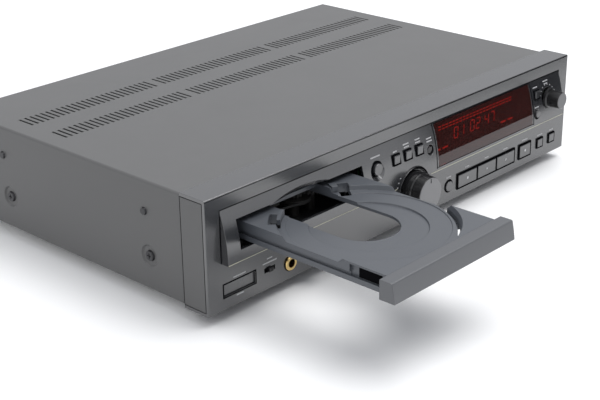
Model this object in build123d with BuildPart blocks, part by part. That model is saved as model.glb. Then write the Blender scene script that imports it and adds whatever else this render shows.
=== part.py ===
"""A full-width disc recorder: slotted cabinet, curved control fascia and a disc loader with its tray out.

Millimetres, Z up. The origin is on the surface that the feet stand on, under the middle of the
cabinet. The front panel faces -Y and the tray slides along Y, back into the cabinet.
"""
from build123d import *
from math import asin, atan, cos, degrees, hypot, pi, radians, sin, sqrt, tan
import os

os.makedirs("parts", exist_ok=True)

# Cabinet
panel_width = 435.0
panel_end = panel_width / 2
panel_height = 85.4
cabinet_depth = 284.0
foot_height = 9.0
foot_radius = 15.0
foot_inset_x = 48.0
foot_inset_front = 45.0
foot_inset_rear = 38.0
rim_depth = 24.0
panel_wall = 2.4
cap_wall = 2.0
panel_proud = 1.5
panel_round = 1.0
cover_sheet = 1.0
cover_bend = 2.0
cover_lift = 2.0
pan_sheet = 1.2
pan_lift = 0.5
pan_wall_height = 70.0
rear_sheet = 1.2
rear_fold = 14.0
rear_fold_inset = 4.0

# Clearances
seat_gap = 0.15
slide_gap = 0.3
shaft_gap = 0.05

# Vent slots in the top cover
vent_length = 18.0
vent_width = 2.0
vents_in_row = 26
vent_group_pitch = panel_width / 3 - 10.0
vent_pitch = vent_group_pitch / (vents_in_row + 1)
vent_rows_behind_face = (177.5, 219.0)

# Side fixings, as distances behind the panel's face and above its lower edge
dimple_radius = 8.5
dimple_depth = 1.2
dimple_taper = 45.0
dimple_height = 27.3
dimple_behind_face = (60.0, 222.0)
side_screw_height = 60.7
side_screw_behind_face = (63.0, 227.0)
large_screw_radius = 2.0
large_head_radius = 4.2
large_head_height = 1.6
small_screw_radius = 1.5
small_head_radius = 3.0
small_head_height = 1.4
screw_length = 7.0
head_taper = 20.0
driver_slot = 0.8

# Curved control fascia, heights above the panel's lower edge
fascia_half_width = panel_end - 13.5
fascia_low = 35.7
fascia_high = 74.4
fascia_bulge = 7.0
fascia_radius = 103.0
fascia_wall = 2.5
fascia_flange = 2.0
fascia_flange_depth = 1.5

# Tray slot in the fascia
slot_centre = 90.5 - panel_end
slot_width = 129.6
slot_low = 44.2
slot_high = 65.2
relief_half_width = 23.0
relief_rise = 4.0
relief_taper = 62.0

# Rotary controls: distance right of the middle and height above the panel's lower edge
level_at = (slot_centre + 122.5, 29.5)
collar_radius = 18.5
collar_hole_radius = 15.6
collar_dish = 1.6
collar_proud = 0.4
level_outer_radius = 15.0
level_outer_front = 14.6
level_inner_radius = 14.2
level_inner_front = 23.0
level_sleeve_radius = 3.5
level_shaft_radius = 2.0
jog_at = (panel_end - 35.7, 56.5)
jog_radius = 7.0
jog_front = 19.5
jog_skirt_radius = 8.4
jog_shaft_radius = 3.0
phones_at = (99.5 - panel_end, 12.7)
phones_radius = 5.0
phones_front = 9.0

# Keys: distance right of the middle, height above the panel's lower edge, width and height
key_travel = 0.8
key_stem_end = 9.0
key_flange = 1.0
key_flange_depth = 1.2
fascia_key_proud = 1.6
fascia_key_flange_at = 0.9
panel_key_proud = 1.2
eject_key_at = (slot_centre + 80.7, 58.2)
eject_key_radius = 4.6
eject_dish_radius = 7.5
small_key_row_height = 59.4
small_key_first = slot_centre + 102.9
small_key_pitch = 14.0
small_key_size = 6.6
sensor_at = (small_key_first + 41.3, 55.5)
sensor_radius = 4.0
sensor_inset = 0.4
menu_key_at = (panel_end - 51.5, 62.6)
menu_key_size = 6.0
clear_key_at = (panel_end - 53.4, 46.5)
clear_key_radius = 3.0
clear_dish_radius = 4.4
dish_depth = 1.0
dish_taper = 45.0
round_key_at = (level_at[0] + 53.7, 14.0)
transport_left = round_key_at[0] + 10.8
transport_right = panel_end - 75.7
transport_low = 7.3
transport_high = 20.9
transport_border = 1.4
transport_gap = 2.3
record_left = panel_end - 69.6
record_right = panel_end - 51.4
skip_key_at = ((panel_end - 37.3, 14.5), (panel_end - 19.3, 14.5))
skip_key_size = 7.2
skip_well_size = 9.6
well_taper = 30.0
round_key_radius = 4.3
round_dish_radius = 5.6
power_key_at = (30.0 - panel_end, 14.6)
power_key_size = (29.4, 8.2)
power_key_inset = 1.2
power_travel = 3.0
timer_at = (59.5 - panel_end, 15.5)
timer_slot = (11.0, 3.6)
timer_knob_width = 4.0
timer_travel = 6.0
key_row_height = 14.1

# Display window
window_left = sensor_at[0] + 9.1
window_right = panel_end - 60.5
window_low = 39.0
window_high = 73.2
window_wall = 2.0
window_flange = 1.5

# Headphone socket for a 6.35 mm plug
socket_at = (80.3 - panel_end, 12.7)
socket_bore_radius = 3.25
socket_bore_length = 24.0
socket_bush_radius = 4.6
socket_nut_radius = 5.6
socket_nut_thickness = 1.6
socket_body = (14.0, 14.0, 26.0)

# Front circuit board
board_sheet = 1.6
front_board_depth = 14.0
switch_size = 6.0

# Disc tray, at rest run out by its full travel
tray_travel = 132.0
tray_half_width = 57.0
deck_height = 60.8
tray_floor_low = deck_height - 7.0
rail_low = 47.4
rail_width = 3.0
bezel_half_width = 64.0
bezel_low = 47.2
bezel_depth = 12.2
bezel_wall = 2.0
bezel_round = 1.4
disc_ahead_of_face = 64.0
tray_behind_face = 55.0
disc_recess_radius = 61.3
disc_seat_radius = 56.0
disc_seat_height = deck_height - 3.2
disc_floor_height = deck_height - 3.8
small_disc_radius = 40.5
small_disc_floor = deck_height - 5.0
well_radius = 25.3
well_behind_centre = 4.5
groove_low = 51.2
groove_high = 54.0
groove_depth = 1.6
side_pocket_length = 27.0
side_pocket_depth = 2.2
side_pocket_roof = 1.4
recess_taper = 24.0
well_rear = 8.0
rear_bar_low = deck_height - 3.0
rear_bar_width = 22.0
hook_height = 1.3
hook_sheet = 2.6
tongue_half_width = 6.0
tongue_length = 6.0
tongue_thickness = 4.0
tongue_offset = 34.0

# Disc drive, heights above the panel's lower edge
drive_half_width = 73.0
drive_low = 30.0
drive_high = 71.3
drive_front = 8.0
drive_length = 190.0
drive_sheet = 0.8
loader_wall = 2.0
loader_floor_low = 32.0
loader_floor_high = 34.0
loader_wall_high = 64.0
loader_rib_depths = (30.0, 90.0, 150.0)
guide_sheet = 2.7
guide_rise = 2.0
guide_lip = 1.0
cam_rib = 1.2
cam_guide_half = 50.0
bracket_sheet = 1.5
bracket_front = 28.0
bracket_length = 150.0
bracket_foot = 12.0

# Loading gears, module in millimetres of pitch diameter a tooth
gear_module = 1.0
rack_pitch_from_centre = 47.0
drive_gear_teeth = 24
pinion_teeth = 10
gear_low = 50.2
gear_high = 53.4
gear_depth_behind_face = 22.0
gear_post_radius = 1.5
gear_hub_radius = 3.6
pulley_radius = 12.0
pulley_low = 46.3
pulley_high = 49.3
groove_radius_cut = 1.2
motor_pulley_radius = 4.0
motor_radius = 10.5
motor_height = 11.5
motor_chamfer = 0.8
motor_from_centre = -22.0
motor_shaft_radius = 1.0
belt_thickness = 1.0
belt_height = 1.6

# Traverse, heights as it stands raised and level; at rest it is tilted down about its hinge
rod_height = 48.6
traverse_low = rod_height - 4.1
traverse_half_width = 36.0
traverse_front = 45.0
traverse_rear = 154.5
traverse_hinge = 152.0
traverse_plate = 2.0
traverse_pin_radius = 2.0
traverse_drop = 8.0
traverse_opening_half = 40.0
traverse_opening = (44.5, 160.0)
ear_inner = 42.0
ear_width = 5.0
ear_round = 1.0
cam_pin_radius = 1.5
cam_pin_height = traverse_low + 4.0
cam_pin_from_centre = 14.0
cam_travel = 22.0
cam_plate = 2.5
cam_front = 40.5
cam_left = -30.0
cam_right = 22.0
cam_high = cam_pin_height + 4.5
spindle_motor_radius = 12.0
spindle_motor_height = 5.0
spindle_radius = 1.5
spindle_collar_radius = 3.0
spindle_hole_radius = 4.0
spindle_seat = 1.0
turntable_radius = 15.0
turntable_thickness = 2.5
turntable_seat = 59.5
turntable_hub_radius = 7.3
turntable_hub_height = 2.5
turntable_hub_taper = 15.0
rod_radius = 1.5
rod_from_centre = 24.0
rod_front = 82.5
rod_rear = 147.0
rod_block = 4.0
rod_block_wall = 1.5
rod_block_cut = 0.7
sled_front = 88.0
sled_length = 18.0
sled_half_width = 27.0
sled_low = rod_height - 1.7
sled_high = rod_height + 3.4
turret_high = sled_high + 3.5
lens_radius = 4.0
lens_from_sled_front = 6.0
lens_step = 1.0
lens_seat = 3.0
lens_taper = 30.0
turret_size = (20.0, 14.0)
turret_well = 4.0
nut_length = 8.0
lens_high = turret_high + 1.8
lead_screw_radius = 1.5
lead_screw_from_centre = -32.6
sled_motor_radius = 4.5
sled_motor_length = 14.0
sled_motor_front = 130.0
sled_motor_room = 2.0
clamper_radius = 15.0
clamper_hub_radius = 10.0
clamper_low = 60.9
clamper_flange = 1.5
bridge_low = 64.0
bridge_sheet = 1.5
bridge_width = 34.0

# Rear panel and its sockets
inlet_at = (panel_end - 52.5, 42.0)
inlet_size = (27.0, 19.0)
inlet_opening = (24.0, 16.0)
inlet_depth = 20.0
blade_size = (2.0, 4.0)
blade_pitch = 14.0
rca_radius = 4.15
rca_bore_radius = 1.7
rca_length = 9.0
rca_pitch = 16.0
rca_block_width = 12.0
rca_block_rise = 7.0
rca_bore_extra = 4.0
rca_hole_gap = 1.0
rca_first = 67.5 - panel_end
rca_columns = tuple(rca_first + step * rca_pitch / 8 for step in (0, 8, 19, 27, 43))
rca_low_height = 22.0
optical_columns = (rca_first + 116.0, rca_first + 136.0)
optical_size = 10.0
optical_block_width = 14.0
optical_block_drop = 8.0
optical_rim = 2.0
optical_proud = 1.0
optical_bore_depth = 5.0
jack_block_depth = 12.0

# Circuit boards on the pan
standoff_height = 8.0
standoff_radius = 3.0
main_board_depth = 76.0
main_board_rear_gap = 5.0
power_board_right = panel_end - 13.5
power_board_left = power_board_right - 96.0
main_board_left = 17.5 - panel_end
main_board_right = power_board_left - 16.0
power_board_length = 170.0
power_board_rear_gap = 24.0
transformer_size = (46.0, 40.0, 36.0)

# Places that follow from the sizes above
face_y = -cabinet_depth / 2
rear_y = cabinet_depth / 2
base_z = foot_height
top_z = base_z + panel_height
cover_half = panel_end - panel_proud
cover_top = top_z - panel_proud
cover_low = base_z + cover_lift
pan_half = cover_half - cover_sheet - dimple_depth
pan_floor = base_z + pan_lift + pan_sheet
disc_y = face_y - disc_ahead_of_face
spindle_y = disc_y + tray_travel
hinge_y = face_y + traverse_hinge
gear_y = face_y + gear_depth_behind_face
arc_centre_depth = fascia_radius - fascia_bulge


def at_depth(depth):
    """Plane behind the panel's face by depth, facing forwards, X to the right and Z up."""
    return Plane.XZ.offset(-(face_y + depth))


def at_height(height):
    """Level plane at a height above the panel's lower edge."""
    return Plane.XY.offset(base_z + height)


def up(place):
    """A place given right of the middle and above the panel's lower edge, as X and Z."""
    return (place[0], base_z + place[1])


def fascia_depth(height, wall=0.0):
    """Depth of the fascia's curved face, or of its inner face, at a height."""
    rise = height - fascia_low
    return arc_centre_depth - sqrt((fascia_radius - wall) ** 2 - rise ** 2)


def curved_profile(low, high, wall, back):
    """Sketch lines of a region from the curved face, set in by wall, to the depth named back."""
    middle = (low + high) / 2
    front_low = (face_y + fascia_depth(low, wall), base_z + low)
    front_middle = (face_y + fascia_depth(middle, wall), base_z + middle)
    front_high = (face_y + fascia_depth(high, wall), base_z + high)
    ThreePointArc(front_low, front_middle, front_high)
    Polyline(front_high, (face_y + back, base_z + high), (face_y + back, base_z + low), front_low)


def curved_band(low, high, outer_wall, inner_wall):
    """Sketch lines of a band that follows the fascia's curve between two depths of wall."""
    middle = (low + high) / 2
    heights = (low, middle, high)
    outer = [(face_y + fascia_depth(height, outer_wall), base_z + height) for height in heights]
    inner = [(face_y + fascia_depth(height, inner_wall), base_z + height) for height in heights]
    ThreePointArc(*outer)
    ThreePointArc(*inner)
    Line(outer[0], inner[0])
    Line(outer[2], inner[2])


# Chassis pan: floor, two side walls and the standoffs for the boards
with BuildPart() as chassis_pan:
    floor_length = cabinet_depth - rim_depth - rear_sheet
    with BuildSketch(at_depth(rim_depth)):
        with Locations((0, base_z + pan_lift + pan_wall_height / 2)):
            Rectangle(2 * pan_half, pan_wall_height)
        with Locations((0, pan_floor + pan_wall_height / 2)):
            Rectangle(2 * (pan_half - pan_sheet), pan_wall_height, mode=Mode.SUBTRACT)
    extrude(amount=-floor_length)
    for side in (-1, 1):
        with BuildSketch(at_depth(panel_wall)):
            with Locations((side * (pan_half - pan_sheet / 2), base_z + panel_wall + seat_gap)):
                Rectangle(pan_sheet, pan_wall_height - panel_wall,
                          align=(Align.CENTER, Align.MIN))
        extrude(amount=-(rim_depth - panel_wall))
        for depth in dimple_behind_face:
            with BuildSketch(Plane.YZ.offset(side * pan_half)):
                with Locations((face_y + depth, base_z + dimple_height)):
                    Circle(large_screw_radius + seat_gap)
            extrude(amount=-side * pan_sheet, mode=Mode.SUBTRACT)
        for depth in side_screw_behind_face:
            with BuildSketch(Plane.YZ.offset(side * pan_half)):
                with Locations((face_y + depth, base_z + side_screw_height)):
                    Circle(small_screw_radius + seat_gap)
            extrude(amount=-side * pan_sheet, mode=Mode.SUBTRACT)
    main_board_y = rear_y - main_board_rear_gap - main_board_depth / 2
    power_board_y = rear_y - power_board_rear_gap - power_board_length / 2
    main_board_x = (main_board_left + main_board_right) / 2
    power_board_x = (power_board_left + power_board_right) / 2
    standoff_margin = 6.0
    with BuildSketch(Plane.XY.offset(pan_floor)):
        with Locations((main_board_x, main_board_y)):
            with GridLocations(main_board_right - main_board_left - 2 * standoff_margin,
                               main_board_depth - 2 * standoff_margin, 2, 2):
                Circle(standoff_radius)
        with Locations((power_board_x, power_board_y)):
            with GridLocations(power_board_right - power_board_left - 2 * standoff_margin,
                               power_board_length - 2 * standoff_margin, 2, 2):
                Circle(standoff_radius)
    extrude(amount=standoff_height)
    foot_x = panel_end - foot_inset_x
    foot_places = [(sx * foot_x, y) for sx in (-1, 1)
                   for y in (face_y + foot_inset_front, rear_y - foot_inset_rear)]
    with BuildSketch(Plane.XY.offset(pan_floor)):
        with Locations(*foot_places):
            Circle(small_screw_radius + seat_gap)
    extrude(amount=-pan_sheet, mode=Mode.SUBTRACT)
chassis_pan.part.label = "chassis_pan"
export_step(chassis_pan.part, "parts/chassis_pan.step")

# Top cover: one folded sheet with six groups of vent slots and pressed screw dimples
with BuildPart() as top_cover:
    with BuildSketch(at_depth(rim_depth)):
        with Locations((0, (cover_top + cover_low) / 2)):
            Rectangle(2 * cover_half, cover_top - cover_low)
        fillet(vertices().group_by(Axis.Y)[-1], cover_bend)
    extrude(amount=-(cabinet_depth - rim_depth))
    open_faces = faces().filter_by(Axis.Y) + faces().filter_by(Axis.Z).sort_by(Axis.Z)[:1]
    offset(amount=-cover_sheet, openings=open_faces)
    for side in (-1, 1):
        for depth in dimple_behind_face:
            place = (face_y + depth, base_z + dimple_height)
            with BuildSketch(Plane.YZ.offset(side * (cover_half - cover_sheet))):
                with Locations(place):
                    Circle(dimple_radius)
            extrude(amount=-side * dimple_depth, taper=dimple_taper)
            with BuildSketch(Plane.YZ.offset(side * cover_half)):
                with Locations(place):
                    Circle(dimple_radius)
            extrude(amount=-side * dimple_depth, taper=dimple_taper, mode=Mode.SUBTRACT)
            with BuildSketch(Plane.YZ.offset(side * cover_half)):
                with Locations(place):
                    Circle(large_screw_radius + seat_gap)
            extrude(amount=-side * (cover_sheet + dimple_depth), mode=Mode.SUBTRACT)
        for depth in side_screw_behind_face:
            with BuildSketch(Plane.YZ.offset(side * cover_half)):
                with Locations((face_y + depth, base_z + side_screw_height)):
                    Circle(small_screw_radius + seat_gap)
            extrude(amount=-side * cover_sheet, mode=Mode.SUBTRACT)
    with BuildSketch(Plane.XY.offset(cover_top)):
        for depth in vent_rows_behind_face:
            for group in (-1, 0, 1):
                with Locations((group * vent_group_pitch, face_y + depth)):
                    with GridLocations(vent_pitch, vent_length, vents_in_row, 1):
                        Rectangle(vent_width, vent_length)
    extrude(amount=-cover_sheet, mode=Mode.SUBTRACT)
top_cover.part.label = "top_cover"
export_step(top_cover.part, "parts/top_cover.step")

# Front panel: a channel open to the rear and at both ends, cut for the fascia and the controls
with BuildPart() as front_panel:
    with BuildSketch(Plane.YZ.offset(-panel_end)):
        with BuildLine():
            Polyline((face_y, base_z), (face_y + rim_depth, base_z),
                     (face_y + rim_depth, base_z + panel_wall),
                     (face_y + panel_wall, base_z + panel_wall),
                     (face_y + panel_wall, top_z - panel_wall),
                     (face_y + rim_depth, top_z - panel_wall), (face_y + rim_depth, top_z),
                     (face_y, top_z), close=True)
        make_face()
    extrude(amount=panel_width)
    front_edges = edges().filter_by(Axis.X).group_by(Axis.Y)[0]
    fillet(front_edges, panel_round)
    with BuildSketch(at_depth(0)):
        with Locations((0, base_z + (fascia_low + fascia_high) / 2)):
            Rectangle(2 * (fascia_half_width + seat_gap), fascia_high - fascia_low + 2 * seat_gap)
        with Locations(up(level_at)):
            Circle(collar_radius + seat_gap)
        with Locations(up(round_key_at)):
            Circle(round_key_radius + slide_gap)
        with Locations(up(power_key_at)):
            Rectangle(power_key_size[0] + 2 * slide_gap, power_key_size[1] + 2 * slide_gap)
        with Locations(up(timer_at)):
            Rectangle(*timer_slot)
        with Locations(up(socket_at)):
            Circle(socket_bush_radius + seat_gap)
        with Locations(up(phones_at)):
            Circle(phones_radius + slide_gap)
        with Locations(((transport_left + transport_right) / 2,
                        base_z + (transport_low + transport_high) / 2)):
            Rectangle(transport_right - transport_left, transport_high - transport_low)
        with Locations(((record_left + record_right) / 2,
                        base_z + (transport_low + transport_high) / 2)):
            Rectangle(record_right - record_left, transport_high - transport_low)
        for place in skip_key_at:
            with Locations(up(place)):
                Rectangle(skip_key_size + 2 * slide_gap, skip_key_size + 2 * slide_gap)
    extrude(amount=-panel_wall, mode=Mode.SUBTRACT)
    with BuildSketch(at_depth(0)):
        with Locations(up(round_key_at)):
            Circle(round_dish_radius)
        for place in skip_key_at:
            with Locations(up(place)):
                Rectangle(skip_well_size, skip_well_size)
    extrude(amount=-panel_wall / 2, mode=Mode.SUBTRACT, taper=well_taper)
front_panel.part.label = "front_panel"
export_step(front_panel.part, "parts/front_panel.step")

# Side caps: plates that close the two ends of the front panel's channel
with BuildPart() as side_caps:
    for side in (-1, 1):
        with BuildSketch(Plane.YZ.offset(side * panel_end)):
            with Locations((face_y + (panel_wall + rim_depth) / 2, (base_z + top_z) / 2)):
                Rectangle(rim_depth - panel_wall - 2 * seat_gap,
                          panel_height - 2 * panel_wall - 2 * seat_gap)
        extrude(amount=-side * cap_wall)
side_caps.part.label = "side_caps"
export_step(side_caps.part, "parts/side_caps.step")

# Finger relief over the tray slot: the top of a cone that narrows towards the inside
relief_radius = (relief_half_width ** 2 + relief_rise ** 2) / (2 * relief_rise)
relief_axis = slot_high + relief_rise - relief_radius
relief_back = panel_wall + fascia_flange_depth
relief_front = fascia_depth(slot_high + relief_rise) - fascia_wall
relief_front_radius = relief_radius + fascia_wall * tan(radians(relief_taper))
with BuildPart() as relief_cone:
    with BuildSketch(at_depth(relief_front)):
        with Locations(up((slot_centre, relief_axis))):
            Circle(relief_front_radius)
    extrude(amount=relief_front - relief_back, taper=relief_taper)
    with Locations((slot_centre, face_y, base_z + slot_high - relief_rise)):
        Box(2 * relief_front_radius, 2 * relief_front_radius, 2 * relief_front_radius,
            align=(Align.CENTER, Align.CENTER, Align.MAX), mode=Mode.SUBTRACT)

# Control fascia: a curved moulded shell set in the panel, with its openings
with BuildPart() as control_fascia:
    with BuildSketch(Plane.YZ.offset(-fascia_half_width)):
        with BuildLine():
            curved_profile(fascia_low, fascia_high, 0, panel_wall)
        make_face()
    extrude(amount=2 * fascia_half_width)
    with BuildSketch(at_depth(panel_wall)):
        with Locations((0, base_z + (fascia_low + fascia_high) / 2)):
            Rectangle(2 * (fascia_half_width + fascia_flange),
                      fascia_high - fascia_low + 2 * fascia_flange)
    extrude(amount=-fascia_flange_depth)
    with BuildSketch(Plane.YZ.offset(-(fascia_half_width - fascia_wall))):
        with BuildLine():
            curved_profile(fascia_low + fascia_wall, fascia_high - fascia_wall, fascia_wall,
                           panel_wall + fascia_flange_depth)
        make_face()
    extrude(amount=2 * (fascia_half_width - fascia_wall), mode=Mode.SUBTRACT)
    with BuildSketch(at_depth(-fascia_bulge)):
        with Locations((slot_centre, base_z + (slot_low + slot_high) / 2)):
            Rectangle(slot_width, slot_high - slot_low)
        with Locations(((window_left + window_right) / 2,
                        base_z + (window_low + window_high) / 2)):
            Rectangle(window_right - window_left, window_high - window_low)
        with Locations(up(eject_key_at)):
            Circle(eject_key_radius + slide_gap)
        with Locations(up(sensor_at)):
            Circle(sensor_radius + seat_gap)
        for index in range(3):
            with Locations(up((small_key_first + index * small_key_pitch, small_key_row_height))):
                Rectangle(small_key_size + 2 * slide_gap, small_key_size + 2 * slide_gap)
        with Locations(up(menu_key_at)):
            Rectangle(menu_key_size + 2 * slide_gap, menu_key_size + 2 * slide_gap)
        with Locations(up(clear_key_at)):
            Circle(clear_key_radius + slide_gap)
        with Locations(up(jog_at)):
            Circle(jog_skirt_radius + slide_gap)
        with Locations(up(level_at)):
            Circle(collar_radius + seat_gap)
    extrude(amount=-(fascia_bulge + panel_wall + fascia_flange_depth), mode=Mode.SUBTRACT)
    for place, radius in ((eject_key_at, eject_dish_radius), (clear_key_at, clear_dish_radius)):
        dish_plane = at_depth(fascia_depth(place[1]) - fascia_wall)
        with BuildSketch(dish_plane):
            with Locations(up(place)):
                Circle(radius + fascia_wall)
        extrude(amount=-(fascia_wall + dish_depth), taper=dish_taper, mode=Mode.SUBTRACT)
    add(relief_cone.part, mode=Mode.SUBTRACT)
control_fascia.part.label = "control_fascia"
export_step(control_fascia.part, "parts/control_fascia.step")

# Display window: tinted, curved like the fascia, held from behind by its flange
with BuildPart() as display_window:
    with BuildSketch(Plane.YZ.offset(window_left + seat_gap)):
        with BuildLine():
            curved_band(window_low + seat_gap, window_high - seat_gap, 0, fascia_wall + seat_gap / 2)
        make_face()
    extrude(amount=window_right - window_left - 2 * seat_gap)
    with BuildSketch(Plane.YZ.offset(window_left - window_flange)):
        with BuildLine():
            curved_band(window_low - window_flange / 2, fascia_high - fascia_wall - seat_gap,
                        fascia_wall + seat_gap / 2, fascia_wall + window_wall / 2)
        make_face()
    extrude(amount=window_right - window_left + 2 * window_flange)
display_window.part.label = "display_window"
export_step(display_window.part, "parts/display_window.step")

# Display module: a flat vacuum display on its own small board, behind the window
module_margin = 8.0
module_glass = 6.0
module_depth = 5.4
module_drop = 2.0
module_chamfer = 0.8
window_middle = ((window_left + window_right) / 2, (window_low + window_high) / 2 - module_drop)
with BuildPart() as display_module:
    with BuildSketch(at_depth(module_depth)):
        with Locations(up(window_middle)):
            Rectangle(window_right - window_left - module_margin, window_high - window_low - module_margin)
    extrude(amount=-module_glass)
    chamfer(faces().sort_by(Axis.Y)[0].edges(), module_chamfer)
    with BuildSketch(at_depth(module_depth + module_glass)):
        with Locations(up(window_middle)):
            Rectangle(window_right - window_left, window_high - window_low - module_margin / 2)
    extrude(amount=-(front_board_depth - module_depth - module_glass))
display_module.part.label = "display_module"
export_step(display_module.part, "parts/display_module.step")

# Keys: a cap through its opening, with a flange behind the wall that keeps it in
small_key_places = [(small_key_first + index * small_key_pitch, small_key_row_height)
                    for index in range(3)]
transport_count = 3
transport_span = transport_right - transport_left - 2 * transport_border
transport_width = (transport_span - (transport_count - 1) * transport_gap) / transport_count
transport_key_height = transport_high - transport_low - 2 * transport_border
transport_places = [(transport_left + transport_border + transport_width / 2
                     + index * (transport_width + transport_gap), key_row_height)
                    for index in range(transport_count)]
record_at = ((record_left + record_right) / 2, key_row_height)
record_width = record_right - record_left - 2 * transport_border

fascia_keys = {
    "eject_key": (eject_key_at, eject_key_radius, None),
    "upper_key_1": (small_key_places[0], small_key_size, small_key_size),
    "upper_key_2": (small_key_places[1], small_key_size, small_key_size),
    "upper_key_3": (small_key_places[2], small_key_size, small_key_size),
    "menu_key": (menu_key_at, menu_key_size, menu_key_size),
    "clear_key": (clear_key_at, clear_key_radius, None),
}
panel_keys = {
    "round_key": (round_key_at, round_key_radius, None),
    "stop_key": (transport_places[0], transport_width, transport_key_height),
    "play_key": (transport_places[1], transport_width, transport_key_height),
    "pause_key": (transport_places[2], transport_width, transport_key_height),
    "record_key": (record_at, record_width, transport_key_height),
    "skip_back_key": (skip_key_at[0], skip_key_size, skip_key_size),
    "skip_forward_key": (skip_key_at[1], skip_key_size, skip_key_size),
}


def key_outline(place, size, height, grow=0.0):
    """Outline of a round key, or of a square-cornered one, at its place on the front."""
    with Locations(up(place)):
        if height is None:
            Circle(size + grow)
        else:
            Rectangle(size + 2 * grow, height + 2 * grow)


key_edge_round = 0.5
for keys, on_fascia in ((fascia_keys, True), (panel_keys, False)):
    for name, (place, size, height) in keys.items():
        front = fascia_depth(place[1]) - fascia_key_proud if on_fascia else -panel_key_proud
        flange_at = fascia_key_flange_at if on_fascia else panel_wall + seat_gap
        with BuildPart() as key:
            with BuildSketch(at_depth(front)):
                key_outline(place, size, height)
            extrude(amount=-(flange_at - front))
            fillet(key.faces().sort_by(Axis.Y)[0].edges(), key_edge_round)
            with BuildSketch(at_depth(flange_at)):
                key_outline(place, size, height, key_flange if on_fascia else key_flange / 2)
            extrude(amount=-key_flange_depth)
            with BuildSketch(at_depth(flange_at + key_flange_depth)):
                with Locations(up(place)):
                    Circle(key_flange_depth)
            extrude(amount=-(key_stem_end - flange_at - key_flange_depth))
        key.part.label = name
        export_step(key.part, f"parts/{name}.step")

# Power key: wide, latching, set back a little in its well
power_stem_end = 10.6
with BuildPart() as power_key:
    with BuildSketch(at_depth(power_key_inset)):
        key_outline(power_key_at, *power_key_size)
    extrude(amount=-(panel_wall + slide_gap - power_key_inset))
    with BuildSketch(at_depth(panel_wall + slide_gap)):
        key_outline(power_key_at, *power_key_size, grow=key_flange / 2)
    extrude(amount=-key_flange_depth)
    with BuildSketch(at_depth(panel_wall + slide_gap + key_flange_depth)):
        with Locations(up(power_key_at)):
            Rectangle(key_stem_end, 2 * key_flange_depth)
    extrude(amount=-(power_stem_end - panel_wall - slide_gap - key_flange_depth))
power_key.part.label = "power_key"
export_step(power_key.part, "parts/power_key.step")

# Timer slider: a ribbed thumb piece in its slot, at rest in the middle
timer_front = 1.8
timer_plate = 1.2
timer_groove = 0.5
timer_cover = 1.0
with BuildPart() as timer_slider:
    with BuildSketch(at_depth(-timer_front)):
        with Locations(up(timer_at)):
            Rectangle(timer_knob_width, timer_slot[1] - 2 * slide_gap)
    extrude(amount=-(timer_front + panel_wall + seat_gap))
    with BuildSketch(at_depth(-timer_front)):
        with Locations(up(timer_at)):
            with GridLocations(timer_knob_width / 3, 1, 2, 1):
                Rectangle(timer_groove, timer_slot[1])
    extrude(amount=-timer_front / 3, mode=Mode.SUBTRACT)
    with BuildSketch(at_depth(panel_wall + seat_gap)):
        with Locations(up(timer_at)):
            Rectangle(timer_slot[0] + timer_travel + timer_cover, timer_slot[1] + 2 * key_flange)
    extrude(amount=-timer_plate)
timer_slider.part.label = "timer_slider"
export_step(timer_slider.part, "parts/timer_slider.step")

# Remote sensor window: a small dome that fills its hole
with BuildPart() as sensor_dome:
    dome_front = fascia_depth(sensor_at[1]) + sensor_inset
    with BuildSketch(at_depth(dome_front)):
        with Locations(up(sensor_at)):
            Circle(sensor_radius)
    extrude(amount=-(panel_wall - dome_front))
    fillet(sensor_dome.faces().sort_by(Axis.Y)[0].edges(), sensor_radius / 2)
    with BuildSketch(at_depth(fascia_key_flange_at)):
        with Locations(up(sensor_at)):
            Circle(sensor_radius + key_flange)
    extrude(amount=-(front_board_depth - fascia_key_flange_at))
sensor_dome.part.label = "sensor_dome"
export_step(sensor_dome.part, "parts/sensor_dome.step")

# Knob collar: a dished ring around the level knobs, let into the fascia and the panel
collar_front = -(fascia_bulge + collar_proud)
with BuildPart() as knob_collar:
    with BuildSketch(at_depth(collar_front)):
        with Locations(up(level_at)):
            Circle(collar_radius)
            Circle(collar_hole_radius, mode=Mode.SUBTRACT)
    extrude(amount=collar_front - panel_wall - fascia_flange_depth)
    with BuildSketch(at_depth(collar_front)):
        with Locations(up(level_at)):
            Circle(collar_radius - collar_dish / 2)
    extrude(amount=-collar_dish, taper=dish_taper, mode=Mode.SUBTRACT)
    back_plane = at_depth(panel_wall + fascia_flange_depth)
    with BuildSketch(back_plane):
        with Locations(up(level_at)):
            Circle(collar_radius + fascia_flange)
            Circle(level_sleeve_radius + shaft_gap, mode=Mode.SUBTRACT)
    extrude(amount=-panel_wall)
knob_collar.part.label = "knob_collar"
export_step(knob_collar.part, "parts/knob_collar.step")


def turning_plane(place):
    """Level plane through a front-to-back axis: radius to the right, depth behind the face up."""
    return Plane(origin=(place[0], face_y, base_z + place[1]), x_dir=(1, 0, 0), z_dir=(0, 0, 1))


def turning_axis(place):
    """Front-to-back axis through a place on the front."""
    return Axis((place[0], face_y, base_z + place[1]), (0, 1, 0))


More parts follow.
